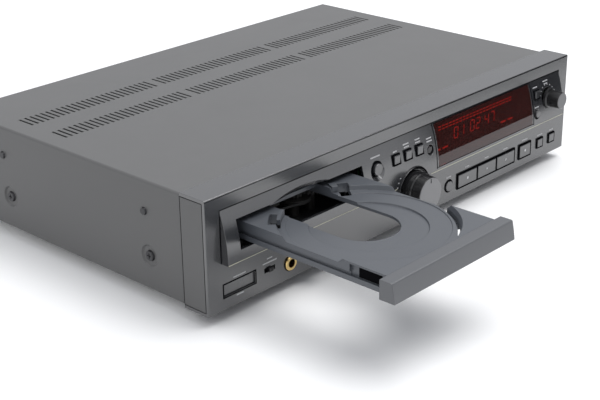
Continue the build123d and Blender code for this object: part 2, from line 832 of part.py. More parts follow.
# Level knobs: an outer ring knob on a sleeve and an inner knob on the shaft through it
level_outer_back = 5.4
shaft_end = front_board_depth - 0.6
knob_chamfer = 0.8
knob_wall = 2.0
knob_cap = 2.4
with BuildPart() as level_knob_outer:
    with BuildSketch(turning_plane(level_at)):
        with BuildLine():
            Polyline((level_shaft_radius + shaft_gap, -level_outer_front),
                     (level_outer_radius - knob_chamfer, -level_outer_front),
                     (level_outer_radius, -level_outer_front + knob_chamfer),
                     (level_outer_radius, -level_outer_back),
                     (level_outer_radius - knob_wall, -level_outer_back),
                     (level_outer_radius - knob_wall, -level_outer_front + knob_cap),
                     (level_sleeve_radius, -level_outer_front + knob_cap),
                     (level_sleeve_radius, shaft_end),
                     (level_shaft_radius + shaft_gap, shaft_end), close=True)
        make_face()
    revolve(axis=turning_axis(level_at))
level_knob_outer.part.label = "level_knob_outer"
export_step(level_knob_outer.part, "parts/level_knob_outer.step")

rim_step = (1.2, 0.5, 0.7)
level_pointer = (1.2, 3.6)
pointer_depth = 0.4
with BuildPart() as level_knob_inner:
    with BuildSketch(turning_plane(level_at)):
        with BuildLine():
            Polyline((0, -level_inner_front), (level_inner_radius - rim_step[0], -level_inner_front),
                     (level_inner_radius - rim_step[1], -level_inner_front + rim_step[2]),
                     (level_inner_radius, -level_outer_front - slide_gap),
                     (level_shaft_radius, -level_outer_front - slide_gap),
                     (level_shaft_radius, shaft_end), (0, shaft_end), close=True)
        make_face()
    revolve(axis=turning_axis(level_at))
    with BuildSketch(at_depth(-level_inner_front)):
        with Locations(up((level_at[0], level_at[1] + level_inner_radius - rim_step[0]))):
            Rectangle(*level_pointer, align=(Align.CENTER, Align.MAX))
    extrude(amount=-pointer_depth, mode=Mode.SUBTRACT)
level_knob_inner.part.label = "level_knob_inner"
export_step(level_knob_inner.part, "parts/level_knob_inner.step")

# Jog dial: an endless knob that turns on a shaft, and the shaft is pressed in with it
jog_back = fascia_depth(jog_at[1]) - 0.5
jog_bore_end = -jog_front + 2.5
jog_chamfer = 0.6
jog_draft = 0.2
jog_skirt = 2.0
jog_shoulder = 3.0
jog_groove_radius = 0.45
jog_groove_count = 24
jog_groove_front = 1.2
jog_groove_back = 3.4
jog_push_room = 0.4
with BuildPart() as jog_dial:
    with BuildSketch(turning_plane(jog_at)):
        with BuildLine():
            Polyline((0, -jog_front), (jog_radius - jog_chamfer, -jog_front),
                     (jog_radius, -jog_front + jog_chamfer),
                     (jog_radius + jog_draft, jog_back - jog_shoulder),
                     (jog_skirt_radius, jog_back - jog_skirt),
                     (jog_skirt_radius, jog_back), (jog_shaft_radius + shaft_gap, jog_back),
                     (jog_shaft_radius + shaft_gap, jog_bore_end), (0, jog_bore_end), close=True)
        make_face()
    revolve(axis=turning_axis(jog_at))
    with BuildSketch(at_depth(-jog_front + jog_groove_front)):
        with Locations(up(jog_at)):
            with PolarLocations(jog_radius + jog_groove_radius / 2, jog_groove_count):
                Circle(jog_groove_radius)
    extrude(amount=-(jog_front + jog_back - jog_groove_front - jog_groove_back), mode=Mode.SUBTRACT)
jog_dial.part.label = "jog_dial"
export_step(jog_dial.part, "parts/jog_dial.step")

with BuildPart() as jog_shaft:
    with BuildSketch(at_depth(jog_bore_end + shaft_gap)):
        with Locations(up(jog_at)):
            Circle(jog_shaft_radius)
    extrude(amount=-(shaft_end - jog_push_room - jog_bore_end - shaft_gap))
jog_shaft.part.label = "jog_shaft"
export_step(jog_shaft.part, "parts/jog_shaft.step")

# Headphone level knob
phones_shaft_radius = 3.0
phones_pointer = (0.8, 2.8)
with BuildPart() as phones_knob:
    with BuildSketch(turning_plane(phones_at)):
        with BuildLine():
            Polyline((0, -phones_front), (phones_radius - jog_chamfer, -phones_front),
                     (phones_radius, -phones_front + jog_chamfer), (phones_radius, panel_wall),
                     (phones_shaft_radius, panel_wall),
                     (phones_shaft_radius, shaft_end), (0, shaft_end), close=True)
        make_face()
    revolve(axis=turning_axis(phones_at))
    with BuildSketch(at_depth(-phones_front)):
        with Locations(up((phones_at[0], phones_at[1] + phones_radius))):
            Rectangle(*phones_pointer, align=(Align.CENTER, Align.MAX))
    extrude(amount=-pointer_depth, mode=Mode.SUBTRACT)
phones_knob.part.label = "phones_knob"
export_step(phones_knob.part, "parts/phones_knob.step")

# Headphone socket: threaded bush with its nut, and the body behind the panel
with BuildPart() as headphone_socket:
    with BuildSketch(at_depth(-socket_nut_thickness)):
        with Locations(up(socket_at)):
            Circle(socket_nut_radius)
    extrude(amount=-socket_nut_thickness)
    chamfer(faces().sort_by(Axis.Y)[0].edges(), key_edge_round)
    with BuildSketch(at_depth(0)):
        with Locations(up(socket_at)):
            Circle(socket_bush_radius)
    extrude(amount=-panel_wall)
    with BuildSketch(at_depth(panel_wall)):
        with Locations(up(socket_at)):
            Rectangle(socket_body[0], socket_body[1])
    extrude(amount=-socket_body[2])
    with BuildSketch(at_depth(-socket_nut_thickness)):
        with Locations(up(socket_at)):
            Circle(socket_bore_radius)
    extrude(amount=-socket_bore_length, mode=Mode.SUBTRACT)
headphone_socket.part.label = "headphone_socket"
export_step(headphone_socket.part, "parts/headphone_socket.step")

# Front board: one circuit board across the controls, with a switch behind each key
front_board_left = slot_centre + 75.0
front_board_right = panel_end - 10.5
front_board_low = 5.0
front_board_high = 72.0
left_board_right = phones_at[0] + 12.0
left_board_left = 11.5 - panel_end
left_board_high = 27.0
switch_gap = key_travel + 0.2
with BuildPart() as front_board:
    with BuildSketch(at_depth(front_board_depth)):
        with Locations(((front_board_left + front_board_right) / 2,
                        base_z + (front_board_low + front_board_high) / 2)):
            Rectangle(front_board_right - front_board_left, front_board_high - front_board_low)
        with Locations(((left_board_left + left_board_right) / 2,
                        base_z + (front_board_low + left_board_high) / 2)):
            Rectangle(left_board_right - left_board_left, left_board_high - front_board_low)
        with Locations(up(socket_at)):
            Rectangle(socket_body[0] + 2 * seat_gap, socket_body[1] + 2 * seat_gap,
                      mode=Mode.SUBTRACT)
    extrude(amount=-board_sheet)
    with BuildSketch(at_depth(key_stem_end + switch_gap)):
        for place, size, height in list(fascia_keys.values()) + list(panel_keys.values()):
            with Locations(up(place)):
                Rectangle(switch_size, switch_size)
    extrude(amount=-(front_board_depth - key_stem_end - switch_gap))
    with BuildSketch(at_depth(power_stem_end + power_travel + switch_gap - key_travel)):
        with Locations(up(power_key_at)):
            Rectangle(2 * switch_size, switch_size)
    extrude(amount=-2 * switch_size)
front_board.part.label = "front_board"
export_step(front_board.part, "parts/front_board.step")

# Feet: four moulded feet with a recess for the screw
foot_recess = 4.0
foot_step = 2.5
with BuildPart() as feet:
    with BuildSketch(Plane.XY):
        with Locations(*foot_places):
            Circle(foot_radius - foot_step / 2)
    extrude(amount=foot_step)
    with BuildSketch(Plane.XY.offset(foot_step)):
        with Locations(*foot_places):
            Circle(foot_radius)
    extrude(amount=base_z + pan_lift - foot_step)
    with BuildSketch(Plane.XY):
        with Locations(*foot_places):
            Circle(small_head_radius + 2)
    extrude(amount=foot_recess, mode=Mode.SUBTRACT)
    with BuildSketch(Plane.XY.offset(foot_recess)):
        with Locations(*foot_places):
            Circle(small_screw_radius + seat_gap)
    extrude(amount=base_z, mode=Mode.SUBTRACT)
feet.part.label = "feet"
export_step(feet.part, "parts/feet.step")

# Large screws in the dimples: dished heads on the outside, shanks through the cover and the pan
with BuildPart() as cover_screws:
    for side in (-1, 1):
        head_x = side * (cover_half - dimple_depth)
        for depth in dimple_behind_face:
            place = (face_y + depth, base_z + dimple_height)
            with BuildSketch(Plane.YZ.offset(head_x)):
                with Locations(place):
                    Circle(large_head_radius)
            extrude(amount=side * large_head_height, taper=head_taper)
            with BuildSketch(Plane.YZ.offset(head_x)):
                with Locations(place):
                    Circle(large_screw_radius)
            extrude(amount=-side * screw_length)
            with BuildSketch(Plane.YZ.offset(head_x + side * large_head_height)):
                with Locations(place):
                    Rectangle(large_head_radius, driver_slot)
                    Rectangle(driver_slot, large_head_radius)
            extrude(amount=-side * large_head_height / 2, mode=Mode.SUBTRACT)
cover_screws.part.label = "cover_screws"
export_step(cover_screws.part, "parts/cover_screws.step")

# Small screws: four at the sides, four in the feet and the rear panel's row
rear_screw_height = 77.0
rear_screw_inset = 17.5
rear_screw_middle = 70.0
rear_screw_x = (rear_screw_inset - panel_end, -rear_screw_middle, rear_screw_middle,
                panel_end - rear_screw_inset)
with BuildPart() as small_screws:
    for side in (-1, 1):
        for depth in side_screw_behind_face:
            place = (face_y + depth, base_z + side_screw_height)
            with BuildSketch(Plane.YZ.offset(side * cover_half)):
                with Locations(place):
                    Circle(small_head_radius)
            extrude(amount=side * small_head_height, taper=head_taper)
            with BuildSketch(Plane.YZ.offset(side * cover_half)):
                with Locations(place):
                    Circle(small_screw_radius)
            extrude(amount=-side * screw_length)
    with BuildSketch(Plane.XY.offset(foot_recess)):
        with Locations(*foot_places):
            Circle(small_head_radius)
    extrude(amount=-small_head_height)
    with BuildSketch(Plane.XY.offset(foot_recess)):
        with Locations(*foot_places):
            Circle(small_screw_radius)
    extrude(amount=screw_length + 2)
    with BuildSketch(at_depth(cabinet_depth)):
        with Locations(*[(x, base_z + rear_screw_height) for x in rear_screw_x]):
            Circle(small_head_radius)
    extrude(amount=-small_head_height)
    with BuildSketch(at_depth(cabinet_depth)):
        with Locations(*[(x, base_z + rear_screw_height) for x in rear_screw_x]):
            Circle(small_screw_radius)
    extrude(amount=rear_sheet + 2)
small_screws.part.label = "small_screws"
export_step(small_screws.part, "parts/small_screws.step")

# Rear panel: a flat sheet with a folded foot on the pan, cut for the sockets
rear_half = pan_half - pan_sheet - seat_gap
rca_places = [(x, base_z + rca_low_height + row * rca_pitch) for x in rca_columns for row in (0, 1)]
optical_places = [(x, base_z + rca_low_height + rca_pitch / 2) for x in optical_columns]
with BuildPart() as rear_panel:
    rear_low = base_z + pan_lift
    rear_high = cover_top - cover_sheet - seat_gap
    with BuildSketch(at_depth(cabinet_depth - rear_sheet)):
        with Locations((0, (rear_low + rear_high) / 2)):
            Rectangle(2 * pan_half, rear_high - rear_low)
    extrude(amount=-rear_sheet)
    with BuildSketch(Plane.XY.offset(rear_high - rear_sheet)):
        with Locations((0, rear_y - rear_sheet - rear_fold / 2)):
            Rectangle(2 * (rear_half - rear_fold_inset), rear_fold)
    extrude(amount=rear_sheet)
    with BuildSketch(at_depth(cabinet_depth - rear_sheet)):
        with Locations(up(inlet_at)):
            Rectangle(inlet_size[0] + 2 * seat_gap, inlet_size[1] + 2 * seat_gap)
        with Locations(*rca_places):
            Circle(rca_radius + rca_hole_gap)
        with Locations(*optical_places):
            Rectangle(optical_size + 2 * seat_gap, optical_size + 2 * seat_gap)
        with Locations(*[(x, base_z + rear_screw_height) for x in rear_screw_x]):
            Circle(small_screw_radius + seat_gap)
    extrude(amount=-rear_sheet, mode=Mode.SUBTRACT)
rear_panel.part.label = "rear_panel"
export_step(rear_panel.part, "parts/rear_panel.step")

# Main board on its standoffs, with a row of chips and capacitors
board_low = pan_floor + standoff_height
chip_height = 2.2
chip_size = 20.0
chip_count = 4
chip_pitch = (main_board_right - main_board_left) / (chip_count + 1)
capacitor_radius = 5.0
capacitor_height = 14.0
with BuildPart() as main_board:
    with BuildSketch(Plane.XY.offset(board_low)):
        with Locations((main_board_x, main_board_y)):
            Rectangle(main_board_right - main_board_left, main_board_depth)
    extrude(amount=board_sheet)
    with BuildSketch(Plane.XY.offset(board_low + board_sheet)):
        with Locations((main_board_x, main_board_y - main_board_depth / 8)):
            with GridLocations(chip_pitch, 1, chip_count, 1):
                Rectangle(chip_size, chip_size)
    extrude(amount=chip_height)
    with BuildSketch(Plane.XY.offset(board_low + board_sheet)):
        with Locations((main_board_x + chip_size, main_board_y - main_board_depth / 3)):
            with GridLocations(2 * chip_pitch / 5, 1, 2 * chip_count, 1):
                Circle(capacitor_radius)
    extrude(amount=capacitor_height)
main_board.part.label = "main_board"
export_step(main_board.part, "parts/main_board.step")

# Power board with its transformer, fuse clips and reservoir capacitors
transformer_from_middle = (10.0, 12.0)
reservoir_from_middle = (-26.0, -20.0)
reservoir_pitch = (16.0, 30.0)
reservoir_radius = 6.5
reservoir_height = 25.0
heat_sink_from_middle = (14.0, -50.0)
heat_sink_size = (50.0, 4.0, 32.0)
with BuildPart() as power_board:
    with BuildSketch(Plane.XY.offset(board_low)):
        with Locations((power_board_x, power_board_y)):
            Rectangle(power_board_right - power_board_left, power_board_length)
    extrude(amount=board_sheet)
    with BuildSketch(Plane.XY.offset(board_low + board_sheet)):
        with Locations((power_board_x + transformer_from_middle[0],
                        power_board_y + transformer_from_middle[1])):
            Rectangle(transformer_size[0], transformer_size[1])
    extrude(amount=transformer_size[2])
    with BuildSketch(Plane.XY.offset(board_low + board_sheet)):
        with Locations((power_board_x + reservoir_from_middle[0],
                        power_board_y + reservoir_from_middle[1])):
            with GridLocations(*reservoir_pitch, 2, 3):
                Circle(reservoir_radius)
    extrude(amount=reservoir_height)
    with BuildSketch(Plane.XY.offset(board_low + board_sheet)):
        with Locations((power_board_x + heat_sink_from_middle[0],
                        power_board_y + heat_sink_from_middle[1])):
            Rectangle(heat_sink_size[0], heat_sink_size[1])
    extrude(amount=heat_sink_size[2])
power_board.part.label = "power_board"
export_step(power_board.part, "parts/power_board.step")

# Rear sockets: phono barrels in pairs and square optical sockets, on moulded blocks
with BuildPart() as rear_jacks:
    block_back = cabinet_depth - rear_sheet - seat_gap
    block_low = board_low + board_sheet
    block_high = base_z + rca_low_height + rca_pitch + rca_block_rise
    with BuildSketch(at_depth(block_back - jack_block_depth)):
        for x in rca_columns:
            with Locations((x, block_low)):
                Rectangle(rca_block_width, block_high - block_low, align=(Align.CENTER, Align.MIN))
        for x in optical_columns:
            with Locations((x, block_low)):
                Rectangle(optical_block_width, block_high - block_low - optical_block_drop,
                          align=(Align.CENTER, Align.MIN))
    extrude(amount=-jack_block_depth)
    with BuildSketch(at_depth(block_back)):
        with Locations(*rca_places):
            Circle(rca_radius)
    extrude(amount=-(rca_length + rear_sheet))
    with BuildSketch(at_depth(block_back)):
        with Locations(*optical_places):
            Rectangle(optical_size, optical_size)
    extrude(amount=-(rear_sheet + optical_proud))
    with BuildSketch(at_depth(block_back + rear_sheet + rca_length)):
        with Locations(*rca_places):
            Circle(rca_bore_radius)
    extrude(amount=rca_length + rca_bore_extra, mode=Mode.SUBTRACT)
    with BuildSketch(at_depth(block_back + rear_sheet + optical_proud)):
        with Locations(*optical_places):
            Rectangle(optical_size - 2 * optical_rim, optical_size - 2 * optical_rim)
    extrude(amount=optical_bore_depth, mode=Mode.SUBTRACT)
rear_jacks.part.label = "rear_jacks"
export_step(rear_jacks.part, "parts/rear_jacks.step")

# Mains inlet with its three blades
inlet_lip = 2.0
with BuildPart() as mains_inlet:
    with BuildSketch(at_depth(cabinet_depth)):
        with Locations(up(inlet_at)):
            Rectangle(inlet_size[0] + 2 * inlet_lip, inlet_size[1] + 2 * inlet_lip)
    extrude(amount=-inlet_lip)
    with BuildSketch(at_depth(cabinet_depth)):
        with Locations(up(inlet_at)):
            Rectangle(*inlet_size)
    extrude(amount=inlet_depth)
    with BuildSketch(at_depth(cabinet_depth + inlet_lip)):
        with Locations(up(inlet_at)):
            Rectangle(*inlet_opening)
    extrude(amount=inlet_depth, mode=Mode.SUBTRACT)
    with BuildSketch(at_depth(cabinet_depth - inlet_depth + inlet_lip)):
        with Locations(up((inlet_at[0], inlet_at[1] + blade_size[0]))):
            with GridLocations(blade_pitch, 1, 2, 1):
                Rectangle(*blade_size)
        with Locations(up((inlet_at[0], inlet_at[1] - blade_size[0]))):
            Rectangle(*blade_size)
    extrude(amount=-(inlet_depth - 2 * inlet_lip))
mains_inlet.part.label = "mains_inlet"
export_step(mains_inlet.part, "parts/mains_inlet.step")

# Disc tray: deck with the stepped disc recess, an open well, grooved rails and a toothed rack
tray_front_depth = -tray_travel + fascia_depth(bezel_low) + bezel_depth
rack_front = -118.0
rack_rear = 31.0
tooth_pitch = pi * gear_module
tooth_root = 1.25 * gear_module
rack_root = rack_pitch_from_centre + tooth_root
tooth_slope = 0.36
tooth_slack = 0.1
root_share = 1.5
tip_share = 0.44
tray_x = slot_centre


def level_block(left, right, front, rear):
    """Rectangle on a level plane, from the drive's middle and by depth behind the panel's face."""
    with Locations((tray_x + (left + right) / 2, face_y + (front + rear) / 2)):
        Rectangle(right - left, rear - front)


def rack_outline():
    """Outline of the rack's toothed edge, with one tooth centred beside the drive gear."""
    first = int((rack_front - gear_depth_behind_face) / tooth_pitch) + 1
    last = int((rack_rear - gear_depth_behind_face) / tooth_pitch)
    tip = rack_pitch_from_centre - gear_module
    tip_half = tooth_pitch / 4 - tooth_slack - tooth_slope * gear_module
    root_half = tooth_pitch / 4 - tooth_slack + tooth_slope * tooth_root
    points = [(tray_x + tray_half_width - rail_width, face_y + rack_front),
              (tray_x + rack_root, face_y + rack_front)]
    for index in range(first, last):
        middle = gear_y + index * tooth_pitch
        points.append((tray_x + rack_root, middle - root_half))
        points.append((tray_x + tip, middle - tip_half))
        points.append((tray_x + tip, middle + tip_half))
        points.append((tray_x + rack_root, middle + root_half))
    points.append((tray_x + rack_root, face_y + rack_rear))
    points.append((tray_x + tray_half_width - rail_width, face_y + rack_rear))
    return points


def ring_sector(inner, outer, start, end):
    """Sketch lines of a piece of a ring around the disc's centre, between two angles in degrees."""
    corners = [[(tray_x + radius * cos(radians(angle)), disc_y + radius * sin(radians(angle)))
                for angle in (start, (start + end) / 2, end)] for radius in (inner, outer)]
    ThreePointArc(*corners[0])
    ThreePointArc(*corners[1])
    Line(corners[0][0], corners[1][0])
    Line(corners[0][2], corners[1][2])


# Spring hooks over the recess's edge: each a gap through the deck with a finger that stands in it
left_hook_gap = (59.5, 68.0, 122.0, 137.0)
left_hook_finger = (59.5, 59.5 + hook_sheet, 116.0, 133.0)
right_hook_gap = (54.0, 69.0, 53.0, 61.0)
right_hook_finger = (61.0, 69.0, 61.0, 65.4)
crescent_radius = 75.5
crescent_shift = 17.7
crescent_angle = 152.0
with BuildPart() as tray:
    with BuildSketch(at_height(rail_low)):
        level_block(-tray_half_width, tray_half_width, tray_front_depth, tray_behind_face)
    extrude(amount=deck_height - rail_low)
    with BuildSketch(at_height(rail_low)):
        level_block(rail_width - tray_half_width, tray_half_width - rail_width,
                    tray_front_depth + bezel_wall, tray_behind_face)
    extrude(amount=tray_floor_low - rail_low, mode=Mode.SUBTRACT)
    for side in (-1, 1):
        with BuildSketch(at_height(groove_low)):
            with Locations((tray_x + side * (tray_half_width - groove_depth / 2),
                            face_y + (tray_front_depth + tray_behind_face) / 2)):
                Rectangle(groove_depth, tray_behind_face - tray_front_depth)
        extrude(amount=groove_high - groove_low, mode=Mode.SUBTRACT)
    for radius, height in ((disc_recess_radius, disc_seat_height),
                           (disc_seat_radius, disc_floor_height),
                           (small_disc_radius, small_disc_floor)):
        with BuildSketch(at_height(height)):
            with Locations((tray_x, disc_y)):
                Circle(radius)
        extrude(amount=deck_height - height, taper=-recess_taper, mode=Mode.SUBTRACT)
    with BuildSketch(at_height(tray_floor_low)):
        with Locations((tray_x, disc_y + well_behind_centre)):
            Circle(well_radius)
        level_block(-well_radius, well_radius, well_behind_centre - disc_ahead_of_face, well_rear)
    extrude(amount=deck_height - tray_floor_low, mode=Mode.SUBTRACT)
    with BuildSketch(at_height(tray_floor_low)):
        level_block(-well_radius, well_radius, well_rear, tray_behind_face)
    extrude(amount=rear_bar_low - tray_floor_low, mode=Mode.SUBTRACT)
    with BuildSketch(at_height(rear_bar_low)):
        level_block(-well_radius, well_radius, well_rear + rear_bar_width, tray_behind_face)
    extrude(amount=deck_height - rear_bar_low, mode=Mode.SUBTRACT)
    shift = crescent_shift * Vector(cos(radians(crescent_angle)), sin(radians(crescent_angle)))
    with BuildSketch(at_height(tray_floor_low)):
        with Locations((tray_x, disc_y)):
            Circle(disc_recess_radius)
        with Locations((tray_x + shift.X, disc_y + shift.Y)):
            Circle(crescent_radius, mode=Mode.SUBTRACT)
    extrude(amount=deck_height - tray_floor_low, mode=Mode.SUBTRACT)
    for gap in (left_hook_gap, right_hook_gap):
        with BuildSketch(at_height(tray_floor_low)):
            with BuildLine():
                ring_sector(*gap)
            make_face()
        extrude(amount=deck_height - tray_floor_low, mode=Mode.SUBTRACT)
    for finger in (left_hook_finger, right_hook_finger):
        with BuildSketch(at_height(deck_height - 2 * hook_height)):
            with BuildLine():
                ring_sector(*finger)
            make_face()
        extrude(amount=3 * hook_height)
    with BuildSketch(at_height(groove_low)):
        level_block(-tray_half_width, -tray_half_width + side_pocket_depth,
                    tray_front_depth + rail_width, tray_front_depth + rail_width + side_pocket_length)
    extrude(amount=deck_height - groove_low - side_pocket_roof, mode=Mode.SUBTRACT)
    with BuildSketch(at_height(gear_low)):
        Polygon(*rack_outline(), align=None)
    extrude(amount=tray_floor_low - gear_low)
    for side in (-1, 1):
        with BuildSketch(at_height(tray_floor_low - tongue_thickness / 2)):
            level_block(side * tongue_offset - tongue_half_width, side * tongue_offset + tongue_half_width,
                        tray_front_depth - tongue_length, tray_front_depth)
        extrude(amount=tongue_thickness)
tray.part.label = "tray"
export_step(tray.part, "parts/tray.step")

# Tray bezel: a hollow moulding across the front of the tray, curved to match the fascia
with BuildPart() as tray_bezel:
    with BuildSketch(Plane.YZ.offset(tray_x - bezel_half_width)):
        with BuildLine():
            bezel_points = [(face_y - tray_travel + fascia_depth(height), base_z + height)
                            for height in (bezel_low, (bezel_low + deck_height) / 2, deck_height)]
            ThreePointArc(*bezel_points)
            Polyline(bezel_points[2], (face_y + tray_front_depth, base_z + deck_height),
                     (face_y + tray_front_depth, base_z + bezel_low), bezel_points[0])
        make_face()
        fillet(vertices().group_by(Axis.Y)[-1].sort_by(Axis.X)[0], bezel_round)
    extrude(amount=2 * bezel_half_width)
    with BuildSketch(at_depth(tray_front_depth)):
        with Locations((tray_x, base_z + (bezel_low + deck_height) / 2)):
            Rectangle(2 * (bezel_half_width - bezel_wall), deck_height - bezel_low - 2 * bezel_wall)
    extrude(amount=tongue_length + slide_gap, mode=Mode.SUBTRACT)
tray_bezel.part.label = "tray_bezel"
export_step(tray_bezel.part, "parts/tray_bezel.step")


def gear_points(teeth, phase):
    """Outline of a spur gear: three points up and down each tooth's flanks."""
    pitch_radius = teeth * gear_module / 2
    half = pi / 2 / teeth
    flank = ((pitch_radius - tooth_root, root_share), (pitch_radius, 1.0),
             (pitch_radius + gear_module, tip_share))
    slack = tooth_slack / pitch_radius
    points = []
    for index in range(teeth):
        middle = 2 * pi * index / teeth + radians(phase)
        for radius, share in flank:
            angle = middle - half * share + slack
            points.append((radius * cos(angle), radius * sin(angle)))
        for radius, share in reversed(flank):
            angle = middle + half * share - slack
            points.append((radius * cos(angle), radius * sin(angle)))
    return points


# Drive gear: meshes with the tray's rack, on a post of the loader frame
drive_gear_x = rack_pitch_from_centre - drive_gear_teeth * gear_module / 2
pinion_x = drive_gear_x - (drive_gear_teeth + pinion_teeth) * gear_module / 2
hub_low = loader_floor_high + slide_gap
with BuildPart() as drive_gear:
    with BuildSketch(at_height(gear_low)):
        with Locations((tray_x + drive_gear_x, gear_y)):
            Polygon(*gear_points(drive_gear_teeth, 180 / drive_gear_teeth), align=None)
    extrude(amount=gear_high - gear_low)
    with BuildSketch(at_height(hub_low)):
        with Locations((tray_x + drive_gear_x, gear_y)):
            Circle(gear_hub_radius)
    extrude(amount=gear_high - hub_low)
    with BuildSketch(at_height(hub_low)):
        with Locations((tray_x + drive_gear_x, gear_y)):
            Circle(gear_post_radius + shaft_gap)
    extrude(amount=gear_high - hub_low, mode=Mode.SUBTRACT)
drive_gear.part.label = "drive_gear"
export_step(drive_gear.part, "parts/drive_gear.step")

# Belt pulley with the pinion that turns the drive gear
belt_middle = (pulley_low + pulley_high) / 2
groove_half = belt_height / 2 + slide_gap
with BuildPart() as belt_pulley:
    with BuildSketch(at_height(hub_low)):
        with Locations((tray_x + pinion_x, gear_y)):
            Circle(gear_hub_radius)
    extrude(amount=pulley_high - hub_low)
    with BuildSketch(at_height(pulley_low)):
        with Locations((tray_x + pinion_x, gear_y)):
            Circle(pulley_radius)
    extrude(amount=pulley_high - pulley_low)
    with BuildSketch(at_height(belt_middle - groove_half)):
        with Locations((tray_x + pinion_x, gear_y)):
            Circle(pulley_radius)
            Circle(pulley_radius - groove_radius_cut, mode=Mode.SUBTRACT)
    extrude(amount=2 * groove_half, mode=Mode.SUBTRACT)
    with BuildSketch(at_height(pulley_high)):
        with Locations((tray_x + pinion_x, gear_y)):
            Polygon(*gear_points(pinion_teeth, 0), align=None)
    extrude(amount=gear_high - pulley_high)
    with BuildSketch(at_height(hub_low)):
        with Locations((tray_x + pinion_x, gear_y)):
            Circle(gear_post_radius + shaft_gap)
    extrude(amount=gear_high - hub_low, mode=Mode.SUBTRACT)
belt_pulley.part.label = "belt_pulley"
export_step(belt_pulley.part, "parts/belt_pulley.step")

# Loading motor, standing on the loader frame's floor
motor_place = (tray_x + motor_from_centre, gear_y)
with BuildPart() as loading_motor:
    with BuildSketch(at_height(loader_floor_high)):
        with Locations(motor_place):
            Circle(motor_radius)
    extrude(amount=motor_height)
    chamfer(faces().sort_by(Axis.Z)[-1].edges(), motor_chamfer)
    with BuildSketch(at_height(loader_floor_high + motor_height / 2)):
        with Locations(motor_place):
            Circle(motor_shaft_radius + shaft_gap)
    extrude(amount=motor_height, mode=Mode.SUBTRACT)
loading_motor.part.label = "loading_motor"
export_step(loading_motor.part, "parts/loading_motor.step")

# Motor pulley on its shaft
with BuildPart() as motor_pulley:
    with BuildSketch(at_height(pulley_low)):
        with Locations(motor_place):
            Circle(motor_pulley_radius)
    extrude(amount=pulley_high - pulley_low)
    with BuildSketch(at_height(belt_middle - groove_half)):
        with Locations(motor_place):
            Circle(motor_pulley_radius)
            Circle(motor_pulley_radius - groove_radius_cut, mode=Mode.SUBTRACT)
    extrude(amount=2 * groove_half, mode=Mode.SUBTRACT)
    with BuildSketch(at_height(loader_floor_high + motor_height / 2 + slide_gap)):
        with Locations(motor_place):
            Circle(motor_shaft_radius)
    extrude(amount=pulley_low - loader_floor_high - motor_height / 2 - slide_gap)
motor_pulley.part.label = "motor_pulley"
export_step(motor_pulley.part, "parts/motor_pulley.step")

# Drive belt around both pulleys
belt_gap = 0.15
with BuildPart() as drive_belt:
    for grow, mode in ((belt_gap + belt_thickness, Mode.ADD), (belt_gap, Mode.SUBTRACT)):
        with BuildSketch(at_height(belt_middle - belt_height / 2)):
            with Locations((tray_x + pinion_x, gear_y)):
                Circle(pulley_radius - groove_radius_cut + grow)
            with Locations(motor_place):
                Circle(motor_pulley_radius - groove_radius_cut + grow)
            make_hull()
        extrude(amount=belt_height, mode=mode)
drive_belt.part.label = "drive_belt"
export_step(drive_belt.part, "parts/drive_belt.step")

